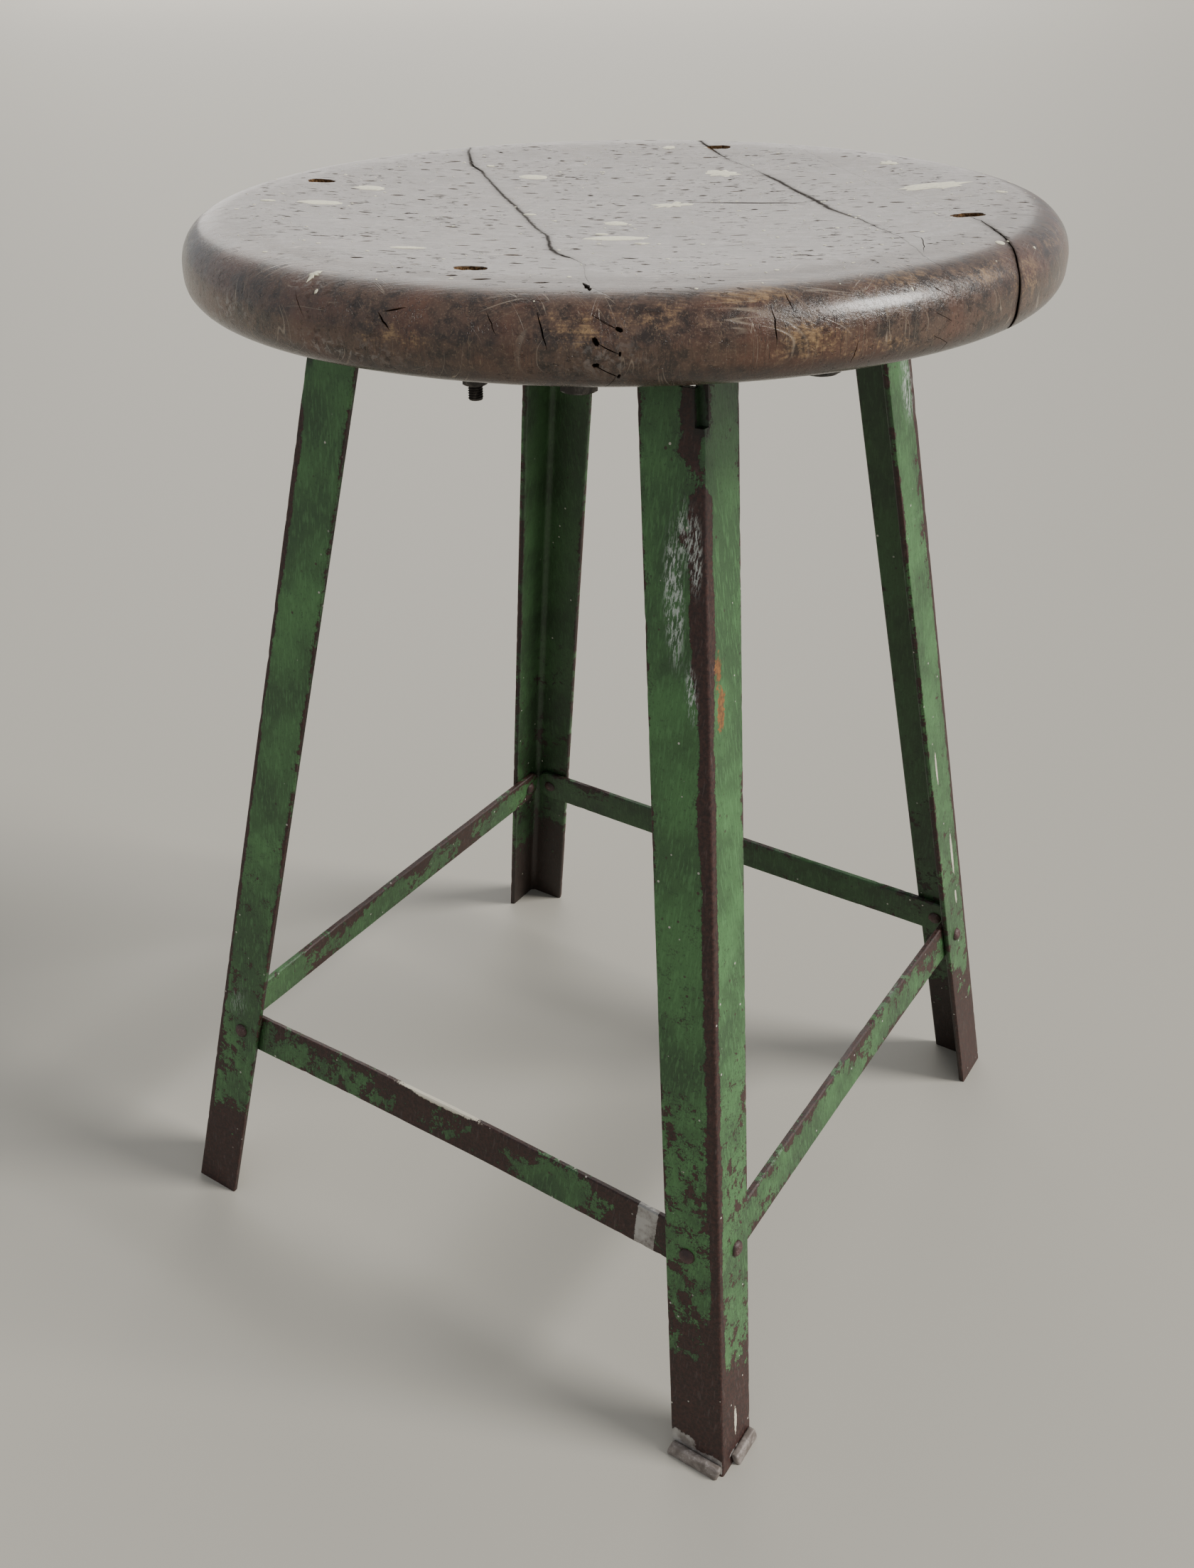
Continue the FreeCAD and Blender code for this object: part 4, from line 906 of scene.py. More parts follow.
def board_block(left, right):
    """The space of one board, between the walls of two joints."""
    outside = SEAT_RADIUS + 12
    rings = []
    for v in np.arange(-outside, outside + 0.1, 2.0):
        low = [(-outside, UNDERSIDE - 7), (-outside, SEAT_TOP + 9)]
        high = [(outside, UNDERSIDE - 7), (outside, SEAT_TOP + 9)]
        one = joint_wall(left, 1, v) if left else low
        other = joint_wall(right, -1, v) if right else high
        ring = [((u + v) / math.sqrt(2), (u - v) / math.sqrt(2), z) for u, z in one + other[::-1]]
        rings.append(ring)
    return tube(rings)


# Where the varnish has rubbed through, and where it is scuffed pale: (azimuth, z, degrees, mm, strength).
RUBBED = [(-44, 477, 6, 2.6, 1.0), (-38.5, 464.5, 5, 7, 0.9), (-54, 473, 7, 5, 0.55), (-62, 470, 5, 7, 0.6),
          (-82, 466, 7, 5, 0.6), (-26, 477, 8, 3, 0.7), (-14, 474, 7, 5, 0.6), (-6, 470, 5, 9, 0.7),
          (-30, 460, 8, 5, 0.6), (8, 474, 10, 4, 0.6), (40, 472, 14, 5, 0.5), (85, 474, 12, 4, 0.5),
          (130, 470, 15, 6, 0.5), (180, 473, 14, 5, 0.4), (-140, 470, 12, 5, 0.4)]
SCUFFED = [(-110, 463, 5, 5, 1.0), (-120, 468, 12, 7, 0.5), (-90, 459, 7, 3.5, 0.7), (-96, 476, 4, 2, 0.7),
           (-60, 462, 4, 6, 0.35), (150, 466, 16, 6, 0.5)]


def patch_strength(points, patches):
    azimuth = np.degrees(np.arctan2(points[:, 1], points[:, 0]))
    total = np.zeros(len(points))
    for centre, level, wide, tall, strength in patches:
        away = (azimuth - centre + 180) % 360 - 180
        near = np.exp(-(away / wide) ** 2 - ((points[:, 2] - level) / tall) ** 2)
        total = np.maximum(total, strength * near)
    inside = smooth(SEAT_RADIUS - 34, SEAT_RADIUS - 14, np.hypot(points[:, 0], points[:, 1]))
    return total * inside


def profile_depth(points, profile):
    """How far each point is under the unworn surface."""
    flat = np.stack([np.hypot(points[:, 0], points[:, 1]), points[:, 2]], axis=1)
    nearest = np.full(len(points), 1e9)
    for start, end in zip(profile, profile[1:]):
        start, along = np.array(start), np.array(end) - np.array(start)
        share = np.clip((flat - start) @ along / (along @ along), 0, 1)
        nearest = np.minimum(nearest, np.linalg.norm(flat - start - share[:, None] * along, axis=1))
    return nearest


def make_seat(material):
    profile = seat_profile()
    vertices, faces = lathe(profile, SEAT_SEGMENTS)
    blank = make_object("seat_blank", settled(vertices), faces)
    scars, scar_faces = join_parts(seat_scars())
    boolean(blank, make_object("scars", settled(scars), scar_faces))
    for part in open_fingers():
        boolean(blank, make_object("opened", *part))
    wells = [ragged_hole(x, y) for x, y, _ in bolt_centres()]
    boolean(blank, make_object("wells", *join_parts(wells)))
    shanks = [round_hole(x, y, BOLT_HOLE_RADIUS, HEAD_LEVEL + 0.5, UNDERSIDE - 2)
              for x, y, _ in bolt_centres()]
    boolean(blank, make_object("shanks", *join_parts(shanks)))
    borders = [None] + JOINTS + [None]
    for name, left, right in zip(BOARDS, borders, borders[1:]):
        board = copy_of(blank, name.replace("seat_", ""))
        boolean(board, make_object("block", *board_block(left, right)), "INTERSECT")
        points = points_of(board)
        rim = 0.5 * smooth(SEAT_RADIUS - 34, SEAT_RADIUS - 8, np.hypot(points[:, 0], points[:, 1]))
        rim += 0.5 * smooth(SEAT_TOP - 1, SEAT_TOP - 12, points[:, 2]) * (rim > 0.2)
        paint_attribute(board, "rim", rim)
        sunk = profile_depth(points, profile) - sink_at(points) - 0.04
        paint_attribute(board, "depth", np.maximum(sunk, 0))
        paint_attribute(board, "grime_and_shade", joint_grime(points))
        paint_attribute(board, "well", near_wells(points))
        paint_attribute(board, "bare", patch_strength(points, RUBBED))
        paint_attribute(board, "pale", patch_strength(points, SCUFFED))
        piece(board, material, "seat_wood", name, angle=38)
    bpy.data.objects.remove(blank)


# Large drops of cream paint on the seat: (x, y, length, width, turn in degrees, raggedness).
DROPS = [(-103, -23, 13, 9, 20, 0.18), (-98, -59, 17, 8, 30, 0.2), (-15, -109, 12, 4, 30, 0.15),
         (-63.5, 36, 13, 9, 10, 0.15), (33, -55, 22, 8, 32, 0.15), (17, -29, 9, 7, 20, 0.25),
         (16.5, 13, 9, 12, 0, 0.75), (95, 77, 24, 12, 38, 0.5), (2, 79, 12, 16, 60, 0.6),
         (152, -13, 3.4, 3.4, 0, 0.05), (-16, -155, 4.5, 3.5, 80, 0.9), (-20, -30, 5, 3, 30, 0.2),
         (46, -60, 5, 3, 30, 0.3), (24, -50, 5, 3, 20, 0.2), (-115, -70, 6, 3, 30, 0.3),
         (-92, 45, 4, 3, 0, 0.2), (60, 118, 6, 8, 60, 0.5), (122, 74, 4, 4, 0, 0.4),
         (-45, 118, 7, 5, 100, 0.3)]


def paint_drop(x, y, length, width, turn, ragged, height=0.22):
    """A low dome of paint that lies on the seat."""
    around = 22 if length > 2 else 9
    turn = math.radians(turn)
    rings = []
    for share, rise in ((1.0, -0.35), (1.0, 0.02), (0.86, 0.75), (0.55, 1.0), (0.2, 1.05)):
        ring = []
        for k in range(around):
            a = 2 * math.pi * k / around
            stray = noise.noise(Vector((x + 2.2 * math.cos(a), y + 2.2 * math.sin(a), length)))
            reach = share * (1 + ragged * stray * 1.6)
            p = reach * length / 2 * math.cos(a)
            q = reach * width / 2 * math.sin(a)
            point, normal = on_top(x + p * math.cos(turn) - q * math.sin(turn),
                                   y + p * math.sin(turn) + q * math.cos(turn))
            ring.append(tuple(point + normal * (rise * height)))
        rings.append(ring)
    return tube(rings)


def make_drops(material):
    parts = [paint_drop(*drop) for drop in DROPS]
    for _ in range(SPATTERS):
        r = 161 * math.sqrt(random.uniform(0.05, 1.0))
        a = random.uniform(0, 2 * math.pi)
        size = 0.5 + 1.5 * random.uniform(0, 1) ** 3
        parts.append(paint_drop(r * math.cos(a), r * math.sin(a), size, size * random.uniform(0.6, 1.0),
                                random.uniform(0, 180), 0.2, 0.12))
    drops = make_object("paint_drops", *join_parts(parts))
    put_points(drops, settled(points_of(drops)))
    piece(drops, material, None, angle=60)


# ------------------------------------------------------------------------ legs

def rounded_outline(corners, radii, step):
    """A closed outline with rounded corners and points no further apart than step."""
    count = len(corners)
    outline = []
    for i in range(count):
        before, here, after = (np.array(corners[(i + k) % count], float) for k in (-1, 0, 1))
        back = (before - here) / np.linalg.norm(before - here)
        ahead = (after - here) / np.linalg.norm(after - here)
        half = math.acos(np.clip(back @ ahead, -1, 1)) / 2
        radius = radii[i]
        reach = radius / math.tan(half)
        start, end = here + back * reach, here + ahead * reach
        middle = (back + ahead) / np.linalg.norm(back + ahead) * radius / math.sin(half) + here
        bends = 4
        for k in range(bends + 1):
            mixed = start + (end - start) * k / bends - middle
            outline.append(middle + mixed / np.linalg.norm(mixed) * radius)
        following = np.array(corners[(i + 1) % count], float)
        onward = np.array(corners[(i + 2) % count], float) - following
        onward /= np.linalg.norm(onward)
        next_half = math.acos(np.clip(-(ahead @ onward), -1, 1)) / 2
        stop = following - ahead * radii[(i + 1) % count] / math.tan(next_half)
        gap = np.linalg.norm(stop - end)
        pieces = int(gap // step)
        outline += [end + (stop - end) * k / (pieces + 1) for k in range(1, pieces + 1)]
    return outline


def in_leg(a, b, z):
    """Front leg: a is in from the heel along -X, b along +Y."""
    return heel(z) - a, -heel(z) + b, z


def box_part(a, b, z_low, z_high):
    """A leaning block of the front leg between two pairs of distances from the heel."""
    corners = [(a[0], b[0]), (a[1], b[0]), (a[1], b[1]), (a[0], b[1])]
    return tube([[in_leg(p, q, z) for p, q in corners] for z in (z_low, z_high)])


def tab_part(left):
    """One flange end folded out under the ring, with the stretch of flange that it grows from."""
    low = RING_BOTTOM - RELIEF + 0.6
    inset = 0.04
    bend = 2.0
    back = 1.0
    under = RING_BOTTOM - FLANGE_THICKNESS
    section = [(LEVEL_THICKNESS - inset, low), (LEVEL_THICKNESS - inset, RING_BOTTOM - back)]
    section += [(LEVEL_THICKNESS - back * (1 - math.cos(t)), RING_BOTTOM - back * (1 - math.sin(t)))
                for t in np.radians((30, 60, 90))]
    section += [(-TAB_LENGTH + 0.6, RING_BOTTOM), (-TAB_LENGTH, RING_BOTTOM - 0.6),
                (-TAB_LENGTH, under + 0.6), (-TAB_LENGTH + 0.6, under)]
    section += [(-bend + bend * math.sin(t), under - bend + bend * math.cos(t))
                for t in np.radians((0, 30, 60, 90))]
    section += [(inset, low)]
    start, end = (RELIEF, LEVEL_WIDTH - inset) if left else (LEVEL_THICKNESS + 0.4, LEVEL_WIDTH - inset)
    rings = []
    for across in np.linspace(start, end, 8):
        ring = []
        for out, z in section:
            a, b = (across, out) if left else (out, across)
            ring.append(in_leg(a, b, min(z, RING_BOTTOM)))
        rings.append(ring)
    return tube(rings)


# Marks of each leg: (field, face, distance from heel, z, half width, half height, strength), in mm.
LEG_MARKS = {
    "front": [("scrape", "left", 4.5, 387, 2.5, 12, 1.0), ("scrape", "left", 13, 370, 3.5, 20, 1.0),
              ("scrape", "left", 7, 338, 2.5, 10, 0.7), ("scrape", "left", 9, 392, 3, 12, 0.6),
              ("rust", "right", 9, 331, 3.2, 9, 1.0), ("rust", "right", 7, 345, 2.8, 8, 1.0),
              ("gone", "left", 8, 392, 3, 5, 0.7), ("gone", "left", 5, 428, 5.5, 20, 0.95),
              ("gone", "right", 2, 436, 5, 14, 0.8), ("gone", "left", 20, 155, 5, 14, 0.55),
              ("gone", "left", 6, 100, 9, 10, 0.30), ("drip", "right", 12, 20, 1.3, 10, 1.0),
              ("drip", "left", 16, 144, 1.4, 1.8, 1.0), ("metal", "left", 5, 5, 14, 4, 0.95),
              ("metal", "left", 20, 8, 10, 6, 0.95), ("metal", "right", 11, 5, 9, 3, 0.6)],
    "right": [("drip", "left", 18, 212, 1.3, 15, 0.9), ("drip", "left", 9.6, 155, 1.6, 18, 1.0),
              ("drip", "left", 10, 127, 1.3, 7, 0.95), ("scrape", "left", 8, 400, 6, 16, 0.6),
              ("gone", "left", 6, 350, 4, 60, 0.5), ("gone", "left", 8, 230, 3, 30, 0.4)],
    "back": [("gone", "left", 22, 250, 4, 60, 0.4)],
    "left": [("gone", "left", 20, 300, 3, 80, 0.45), ("scrape", "right", 10, 120, 8, 12, 0.3)],
}
# Bare band along each leg's heel: width on the left face, on the right face, and its upper end, in mm.
HEEL_BANDS = {"front": (6.4, 4.6, 409), "right": (4.0, 2.6, 430), "back": (1.6, 1.6, 300),
              "left": (2.8, 3.0, 410)}
FIELDS = ("scrape", "rust", "gone", "drip", "metal", "grime_and_shade")


def leg_fields(obj, corner, turn):
    """Wear fields of a leg: along its heel and edges, near the floor, and its own marks; and painted shade,
    with some grime, on its inner faces, under the ring and in the slit.
    """
    points = points_of(obj)
    spin = np.array(Matrix.Rotation(math.radians(-turn), 3, "Z"))
    local = points @ spin.T
    z = local[:, 2]
    span = heel(z)
    a = span - local[:, 0]
    b = local[:, 1] + span
    from_heel = np.maximum(a, b)
    on_left = a > b
    left_width, right_width, band_top = HEEL_BANDS[corner]
    along = np.stack([np.zeros(len(z)), np.full(len(z), turn * 1.0), z], axis=1)
    width = np.where(on_left, left_width, right_width) * (1 + 0.3 * wobble(along, 38.0, 4.0))
    width *= 0.72 + 0.28 * smooth(325, 350, z)
    width *= smooth(band_top + 3, band_top - 6, z)
    band = smooth(width + 1.8, width - 1.2, from_heel)
    toe = np.exp(-np.maximum(LEVEL_WIDTH - from_heel, 0) / 1.7) * (0.66 + 0.4 * wobble(along, 30.0, 9.0))
    foot = smooth(116, 34, z + 26 * wobble(local, 16.0, turn + 2.0) + np.where(on_left, 0.0, 22.0))
    mottled = 0.36 * smooth(300, 130, z)
    values = {field: np.zeros(len(points)) for field in FIELDS}
    values["gone"] = np.maximum.reduce([0.95 * band, toe, foot, mottled])
    outer = np.minimum(a, b) < LEVEL_THICKNESS / 2
    # painted shade, with some grime: the inner faces, the top under the ring and the slit at the heel are
    # darkened
    values["grime_and_shade"] = np.where(outer, 0.0, 0.75) + 0.45 * smooth(RING_BOTTOM - 40, RING_BOTTOM - 5, z)
    values["grime_and_shade"][(from_heel < LEVEL_THICKNESS + 1.2) & (z > RING_BOTTOM - SLIT_LENGTH - 2)] = 1.0
    for field, face, centre, level, wide, tall, strength in LEG_MARKS[corner]:
        near = np.exp(-((from_heel - centre) / wide) ** 2 - ((z - level) / tall) ** 2)
        here = on_left if face == "left" else ~on_left
        values[field] = np.maximum(values[field], strength * near * (here & outer))
    for field, numbers in values.items():
        paint_attribute(obj, field, np.clip(numbers, 0, 1))


def make_leg(corner, turn, material):
    corners = [(0, 0), (LEVEL_WIDTH, 0), (LEVEL_WIDTH, LEVEL_THICKNESS), (LEVEL_THICKNESS, LEVEL_THICKNESS),
               (LEVEL_THICKNESS, LEVEL_WIDTH), (0, LEVEL_WIDTH)]
    radii = [HEEL_ROUND, 0.45, TOE_ROUND, ROOT_ROUND, TOE_ROUND, 0.45]
    outline = rounded_outline(corners, radii, 1.2)
    top = RING_BOTTOM - 1.2
    rings = [[in_leg(a, b, z) for a, b in outline] for z in np.linspace(0, top, 170)]
    vertices, faces = tube(rings)
    points = np.array(vertices)
    # old angle iron is never quite flat, and its edges are nicked
    flat = np.array(list(outline) * len(rings))
    centre = np.array([0.32 * LEVEL_WIDTH, 0.32 * LEVEL_WIDTH])
    inward = centre - flat
    inward /= np.linalg.norm(inward, axis=1, keepdims=True)
    from_heel = flat.max(axis=1)
    at_edge = np.maximum(np.exp(-from_heel / 1.6), np.exp(-(LEVEL_WIDTH - from_heel) / 1.2))
    hollow = np.minimum(flat[:, 0], flat[:, 1]) > LEVEL_THICKNESS * 0.8
    sink = 0.10 * (1 + wobble(points, 24.0, turn + 1.0)) / 2
    sink += at_edge * (0.9 * np.maximum(wobble(points, 4.5, turn + 5.0) - 0.25, 0) + 0.12)
    sink[hollow] *= 0.1
    points[:, 0] -= inward[:, 0] * sink
    points[:, 1] += inward[:, 1] * sink
    bar = make_object(f"leg_{corner}_shape", points, faces)
    wide = (-2.0, LEVEL_THICKNESS + 0.4)
    slit = box_part(wide, wide, RING_BOTTOM - SLIT_LENGTH, RING_BOTTOM + 5)
    boolean(bar, make_object("slit", *slit))
    notch = box_part((-2.0, RELIEF), wide, RING_BOTTOM - RELIEF, RING_BOTTOM + 5)
    boolean(bar, make_object("notch", *notch))
    boolean(bar, make_object("tab", *tab_part(True)), "UNION")
    boolean(bar, make_object("tab", *tab_part(False)), "UNION")
    spin = np.array(Matrix.Rotation(math.radians(turn), 3, "Z"))
    put_points(bar, points_of(bar) @ spin.T)
    bar.name = f"angle_{corner}"
    leg_fields(bar, corner, turn)
    piece(bar, material, "green_paint", f"leg_{corner}", angle=40)


# ------------------------------------------------------- stretchers, strips and rivets

BAR_THICKNESS = 3.0
BAR_WIDTH = 20.0
BAR_END_ROUND = 7.0
BAR_LEVEL = 104.0
# Bow of each stretcher towards the stool's axis, in mm.
BOW = {"front": 2.2, "right": 0.8, "back": 0.5, "left": -0.3}
# How much more paint than usual each stretcher has lost, and how much it is darkened by grime and painted
# shade.
BAR_LOSS = {"front": 0.42, "right": 0.24, "back": 0.08, "left": 0.30}
BAR_GRIME_AND_SHADE = {"front": 0.10, "right": 0.05, "back": 0.65, "left": 0.25}


def side_matrix(turn):
    """From a stretcher's own plane, X along it, Y inwards and Z up the flange, to the stool."""
    lift = Matrix.Translation(Vector((0, -heel(BAR_LEVEL), BAR_LEVEL)))
    return Matrix.Rotation(math.radians(turn), 4, "Z") @ lift @ Matrix.Rotation(-LEAN_ANGLE, 4, "X")


def make_stretcher(corner, turn, material):
    """A flat bar with rounded ends and worn edges, slightly bowed."""
    half = box_mm("stretcher_front")[1][0]
    soft = 0.6
    near_face, far_face = FLANGE_THICKNESS, FLANGE_THICKNESS + BAR_THICKNESS
    rings = []
    for x in half * np.sin(np.linspace(-math.pi / 2, math.pi / 2, 110)):
        room = BAR_END_ROUND - (half - abs(x))
        trim = BAR_END_ROUND - math.sqrt(max(BAR_END_ROUND ** 2 - max(room, 0) ** 2, 0.0))
        tall = BAR_WIDTH / 2 - min(trim, BAR_END_ROUND * 0.97)
        rise = BOW[corner] * math.cos(math.pi / 2 * x / half)
        sag = 0.25 * noise.noise(Vector((x / 40, turn, 0)))
        levels = [tall * t for t in (-0.94, -0.6, -0.2, 0.2, 0.6, 0.94)]
        outer = [(near_face + 0.02, z) for z in levels]
        inner = [(far_face, z) for z in levels[::-1]]
        top = [(near_face + soft, tall), (far_face - soft, tall)]
        bottom = [(far_face - soft, -tall), (near_face + soft, -tall)]
        rings.append([(x, y + rise, z + sag) for y, z in outer + top + inner + bottom])
    vertices, faces = tube(rings)
    points = np.array(vertices)
    edge = smooth(0.55, 1.0, np.abs(points[:, 2]) / (BAR_WIDTH / 2))
    points[:, 2] -= np.sign(points[:, 2]) * edge * 0.8 * np.maximum(wobble(points, 5.0, turn + 2.0) - 0.2, 0)
    bar = make_object(f"bar_{corner}", [tuple(side_matrix(turn) @ Vector(p)) for p in points], faces)
    values = {field: np.zeros(len(points)) for field in FIELDS}
    top_edge = smooth(0.35, 0.9, points[:, 2] / (BAR_WIDTH / 2))
    low_edge = smooth(0.6, 1.0, -points[:, 2] / (BAR_WIDTH / 2))
    patches = 0.55 * wobble(points, 40.0, turn + 17.0)
    values["gone"] = 0.30 * top_edge + 0.15 * low_edge + patches + BAR_LOSS[corner]
    # darkening of each stretcher: grime and painted shade, strongest on the back one under the seat
    values["grime_and_shade"] = np.full(len(points), BAR_GRIME_AND_SHADE[corner])
    if corner == "front":
        near_top = smooth(BAR_WIDTH / 2 - 1.6, BAR_WIDTH / 2 - 0.4, points[:, 2])
        values["drip"] = 0.85 * np.exp(-((points[:, 0] + 8) / 34) ** 2) * near_top
        values["metal"] = smooth(5.6, 4.0, np.abs(points[:, 0] - half + LEVEL_WIDTH + 4.5))
    for field, numbers in values.items():
        paint_attribute(bar, field, np.clip(numbers, 0, 1))
    piece(bar, material, "stretcher_paint", f"stretcher_{corner}", angle=40)


def rivet_profile(grip):
    """Half section of a rivet along Z: a dome below 0 and a dome above the grip."""
    dome = [(RIVET_HEAD_RADIUS * math.sin(t), RIVET_HEAD_HEIGHT * math.cos(t) ** 0.9)
            for t in np.radians(range(0, 91, 10))]
    lower = [(r, -h) for r, h in dome]
    upper = [(r, grip + h) for r, h in dome[::-1]]
    return lower + [(RIVET_SHANK_RADIUS, 0.02), (RIVET_SHANK_RADIUS, grip - 0.02)] + upper


def dimpled(part, amount, seed):
    """Hammer marks: a part's points moved by a little noise towards the Z axis."""
    vertices, faces = part
    points = np.array(vertices)
    sink = amount * (1 + wobble(points, 2.2, seed)) / 2
    points[:, :2] *= (1 - sink / 4)[:, None]
    middle = (points[:, 2].max() + points[:, 2].min()) / 2
    points[:, 2] += np.sign(middle - points[:, 2]) * sink * 0.5
    return points.tolist(), faces


def make_stretcher_rivets(material):
    grip = FLANGE_THICKNESS + BAR_THICKNESS
    for corner, turn in CORNERS:
        for end in "ab":
            node = f"stretcher_rivet_{corner}_{end}"
            low, high = box_mm(node)
            part = dimpled(lathe(rivet_profile(grip), 28), 0.5, turn + ord(end))
            inwards = Matrix.Rotation(math.radians(turn), 4, "Z") @ Matrix.Rotation(-LEAN_ANGLE, 4, "X")
            aim = inwards @ Matrix.Rotation(-math.pi / 2, 4, "X")
            centre = Matrix.Translation(Vector((low + high) / 2))
            placed = moved(part, centre @ aim @ Matrix.Translation((0, 0, -grip / 2)))
            rivet = make_object(node.replace("stretcher_", ""), *placed)
            piece(rivet, material, "rivet_steel", node, angle=50)


def make_foot_strips(material):
    for node in ("foot_strip_left", "foot_strip_right"):
        low, high = box_mm(node)
        size = high - low
        long_axis = 0 if size[0] > size[1] else 1
        short_axis = 1 - long_axis
        middle = (low + high) / 2
        thick, tall = 3.5, size[2]
        section = rounded_outline([(-thick / 2, 0), (thick / 2, 0), (thick / 2, tall), (-thick / 2, tall)],
                                  [0.5, 0.5, 1.1, 1.1], 1.0)
        out = -1 if node.endswith("left") else 1
        rings = []
        reach = size[long_axis] / 2 - LEAN * tall / 2
        for t in np.sin(np.linspace(-math.pi / 2, math.pi / 2, 26)):
            pinch = math.sqrt(max(1 - (max(abs(t) - 0.9, 0) / 0.1) ** 2 * 0.75, 0))
            ring = []
            for q, z in section:
                point = np.zeros(3)
                point[long_axis] = middle[long_axis] + t * reach + out * (LEAN * (tall / 2 - z))
                point[short_axis] = middle[short_axis] + q * pinch + out * LEAN * (tall / 2 - z)
                point[2] = tall / 2 + (z - tall / 2) * pinch if z > tall / 2 else z
                ring.append(tuple(point))
            rings.append(ring)
        vertices, faces = tube(rings)
        points = np.array(vertices)
        points[:, short_axis] -= out * 0.3 * (1 + wobble(points, 3.0, 4.0 + out)) / 2
        piece(make_object(node.replace("foot_", ""), points, faces), material, "strip_metal", node, angle=45)


# ----------------------------------------------------------- ring and its fasteners

def ring_profile():
    """Closed section of the ring with eased edges."""
    inner, outer = RING_RADIUS - RING_WIDTH, RING_RADIUS
    corners = [(inner, RING_BOTTOM), (outer, RING_BOTTOM), (outer, RING_TOP), (inner, RING_TOP)]
    return [tuple(p) for p in rounded_outline(corners, [0.7] * 4, 5.0)]


def spots_of(node):
    """Centres of a node's separate solids, found from its loose meshes."""
    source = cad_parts[node].data
    shape = bmesh.new()
    shape.from_mesh(source)
    bmesh.ops.remove_doubles(shape, verts=shape.verts, dist=1e-6)
    unseen = set(shape.verts)
    spots = []
    while unseen:
        stack = [unseen.pop()]
        island = list(stack)
        while stack:
            for link in stack.pop().link_edges:
                for end in link.verts:
                    if end in unseen:
                        unseen.remove(end)
                        stack.append(end)
                        island.append(end)
        found = np.array([v.co for v in island]) / MM
        spots.append((found.min(axis=0), found.max(axis=0)))
    shape.free()
    return sorted(spots, key=lambda s: (round(float(s[0][0]), 1), round(float(s[0][1]), 1)))


def make_ring(material):
    vertices, faces = lathe(ring_profile(), 180, poles=False)
    ring = make_object("ring", vertices, faces)
    holes = []
    for node, radius in (("bolt_nuts", BOLT_HOLE_RADIUS), ("coach_screws", COACH_HOLE_RADIUS),
                         ("tab_rivets", RIVET_SHANK_RADIUS)):
        for low, high in spots_of(node):
            x, y = (low[:2] + high[:2]) / 2
            holes.append(round_hole(x, y, radius, RING_BOTTOM - 2, RING_TOP + 2))
    boolean(ring, make_object("holes", *join_parts(holes)))
    piece(ring, material, "ring_steel", "mounting_ring", angle=40)


def threaded(radius, pitch, low, high):
    """A threaded rod along Z with pointed ridges."""
    segments = 24
    rows = 8
    depth = pitch * 0.55
    rings = []
    steps = int((high - low) / pitch * rows)
    for i in range(steps + 1):
        z = low + (high - low) * i / steps
        ring = []
        for k in range(segments):
            turn = (z / pitch - k / segments) % 1.0
            ridge = 1 - abs(2 * turn - 1)
            fade = min(1.0, (z - low) / pitch + 0.15, (high - z) / pitch + 0.15)
            r = radius - depth * (1 - ridge) * fade - 0.35 * (1 - min(1.0, (z - low) / (pitch * 0.6) + 0.2))
            a = 2 * math.pi * k / segments
            ring.append((r * math.cos(a), r * math.sin(a), z))
        rings.append(ring)
    return tube(rings)


def hexagon_head(flats, height, chamfer, bore=0.0):
    """A hexagon whose corners are turned off at both faces, as a nut or a bolt head is."""
    segments = 72
    rings = []
    corner = flats / 2 / math.cos(math.pi / 6)
    for z, trim in ((0.0, 1.0), (chamfer, 0.0), (height - chamfer, 0.0), (height, 1.0)):
        ring = []
        for k in range(segments):
            a = 2 * math.pi * k / segments
            off = (a + math.pi / 6) % (math.pi / 3) - math.pi / 6
            r = flats / 2 / math.cos(off)
            r = min(r, corner - (corner - flats / 2 * 0.96) * trim)
            ring.append((r * math.cos(a), r * math.sin(a), z))
        rings.append(ring)
    if not bore:
        return tube(rings)
    inner = [[(bore * math.cos(2 * math.pi * k / segments), bore * math.sin(2 * math.pi * k / segments), z)
              for k in range(segments)] for z in (height, 0.0)]
    return hoop(rings + inner)


def washer(outside, inside, thickness):
    section = rounded_outline([(inside / 2, 0), (outside / 2, 0), (outside / 2, thickness),
                               (inside / 2, thickness)], [0.2, 0.3, 0.3, 0.2], 9.0)
    return lathe([tuple(p) for p in section], 40, poles=False)


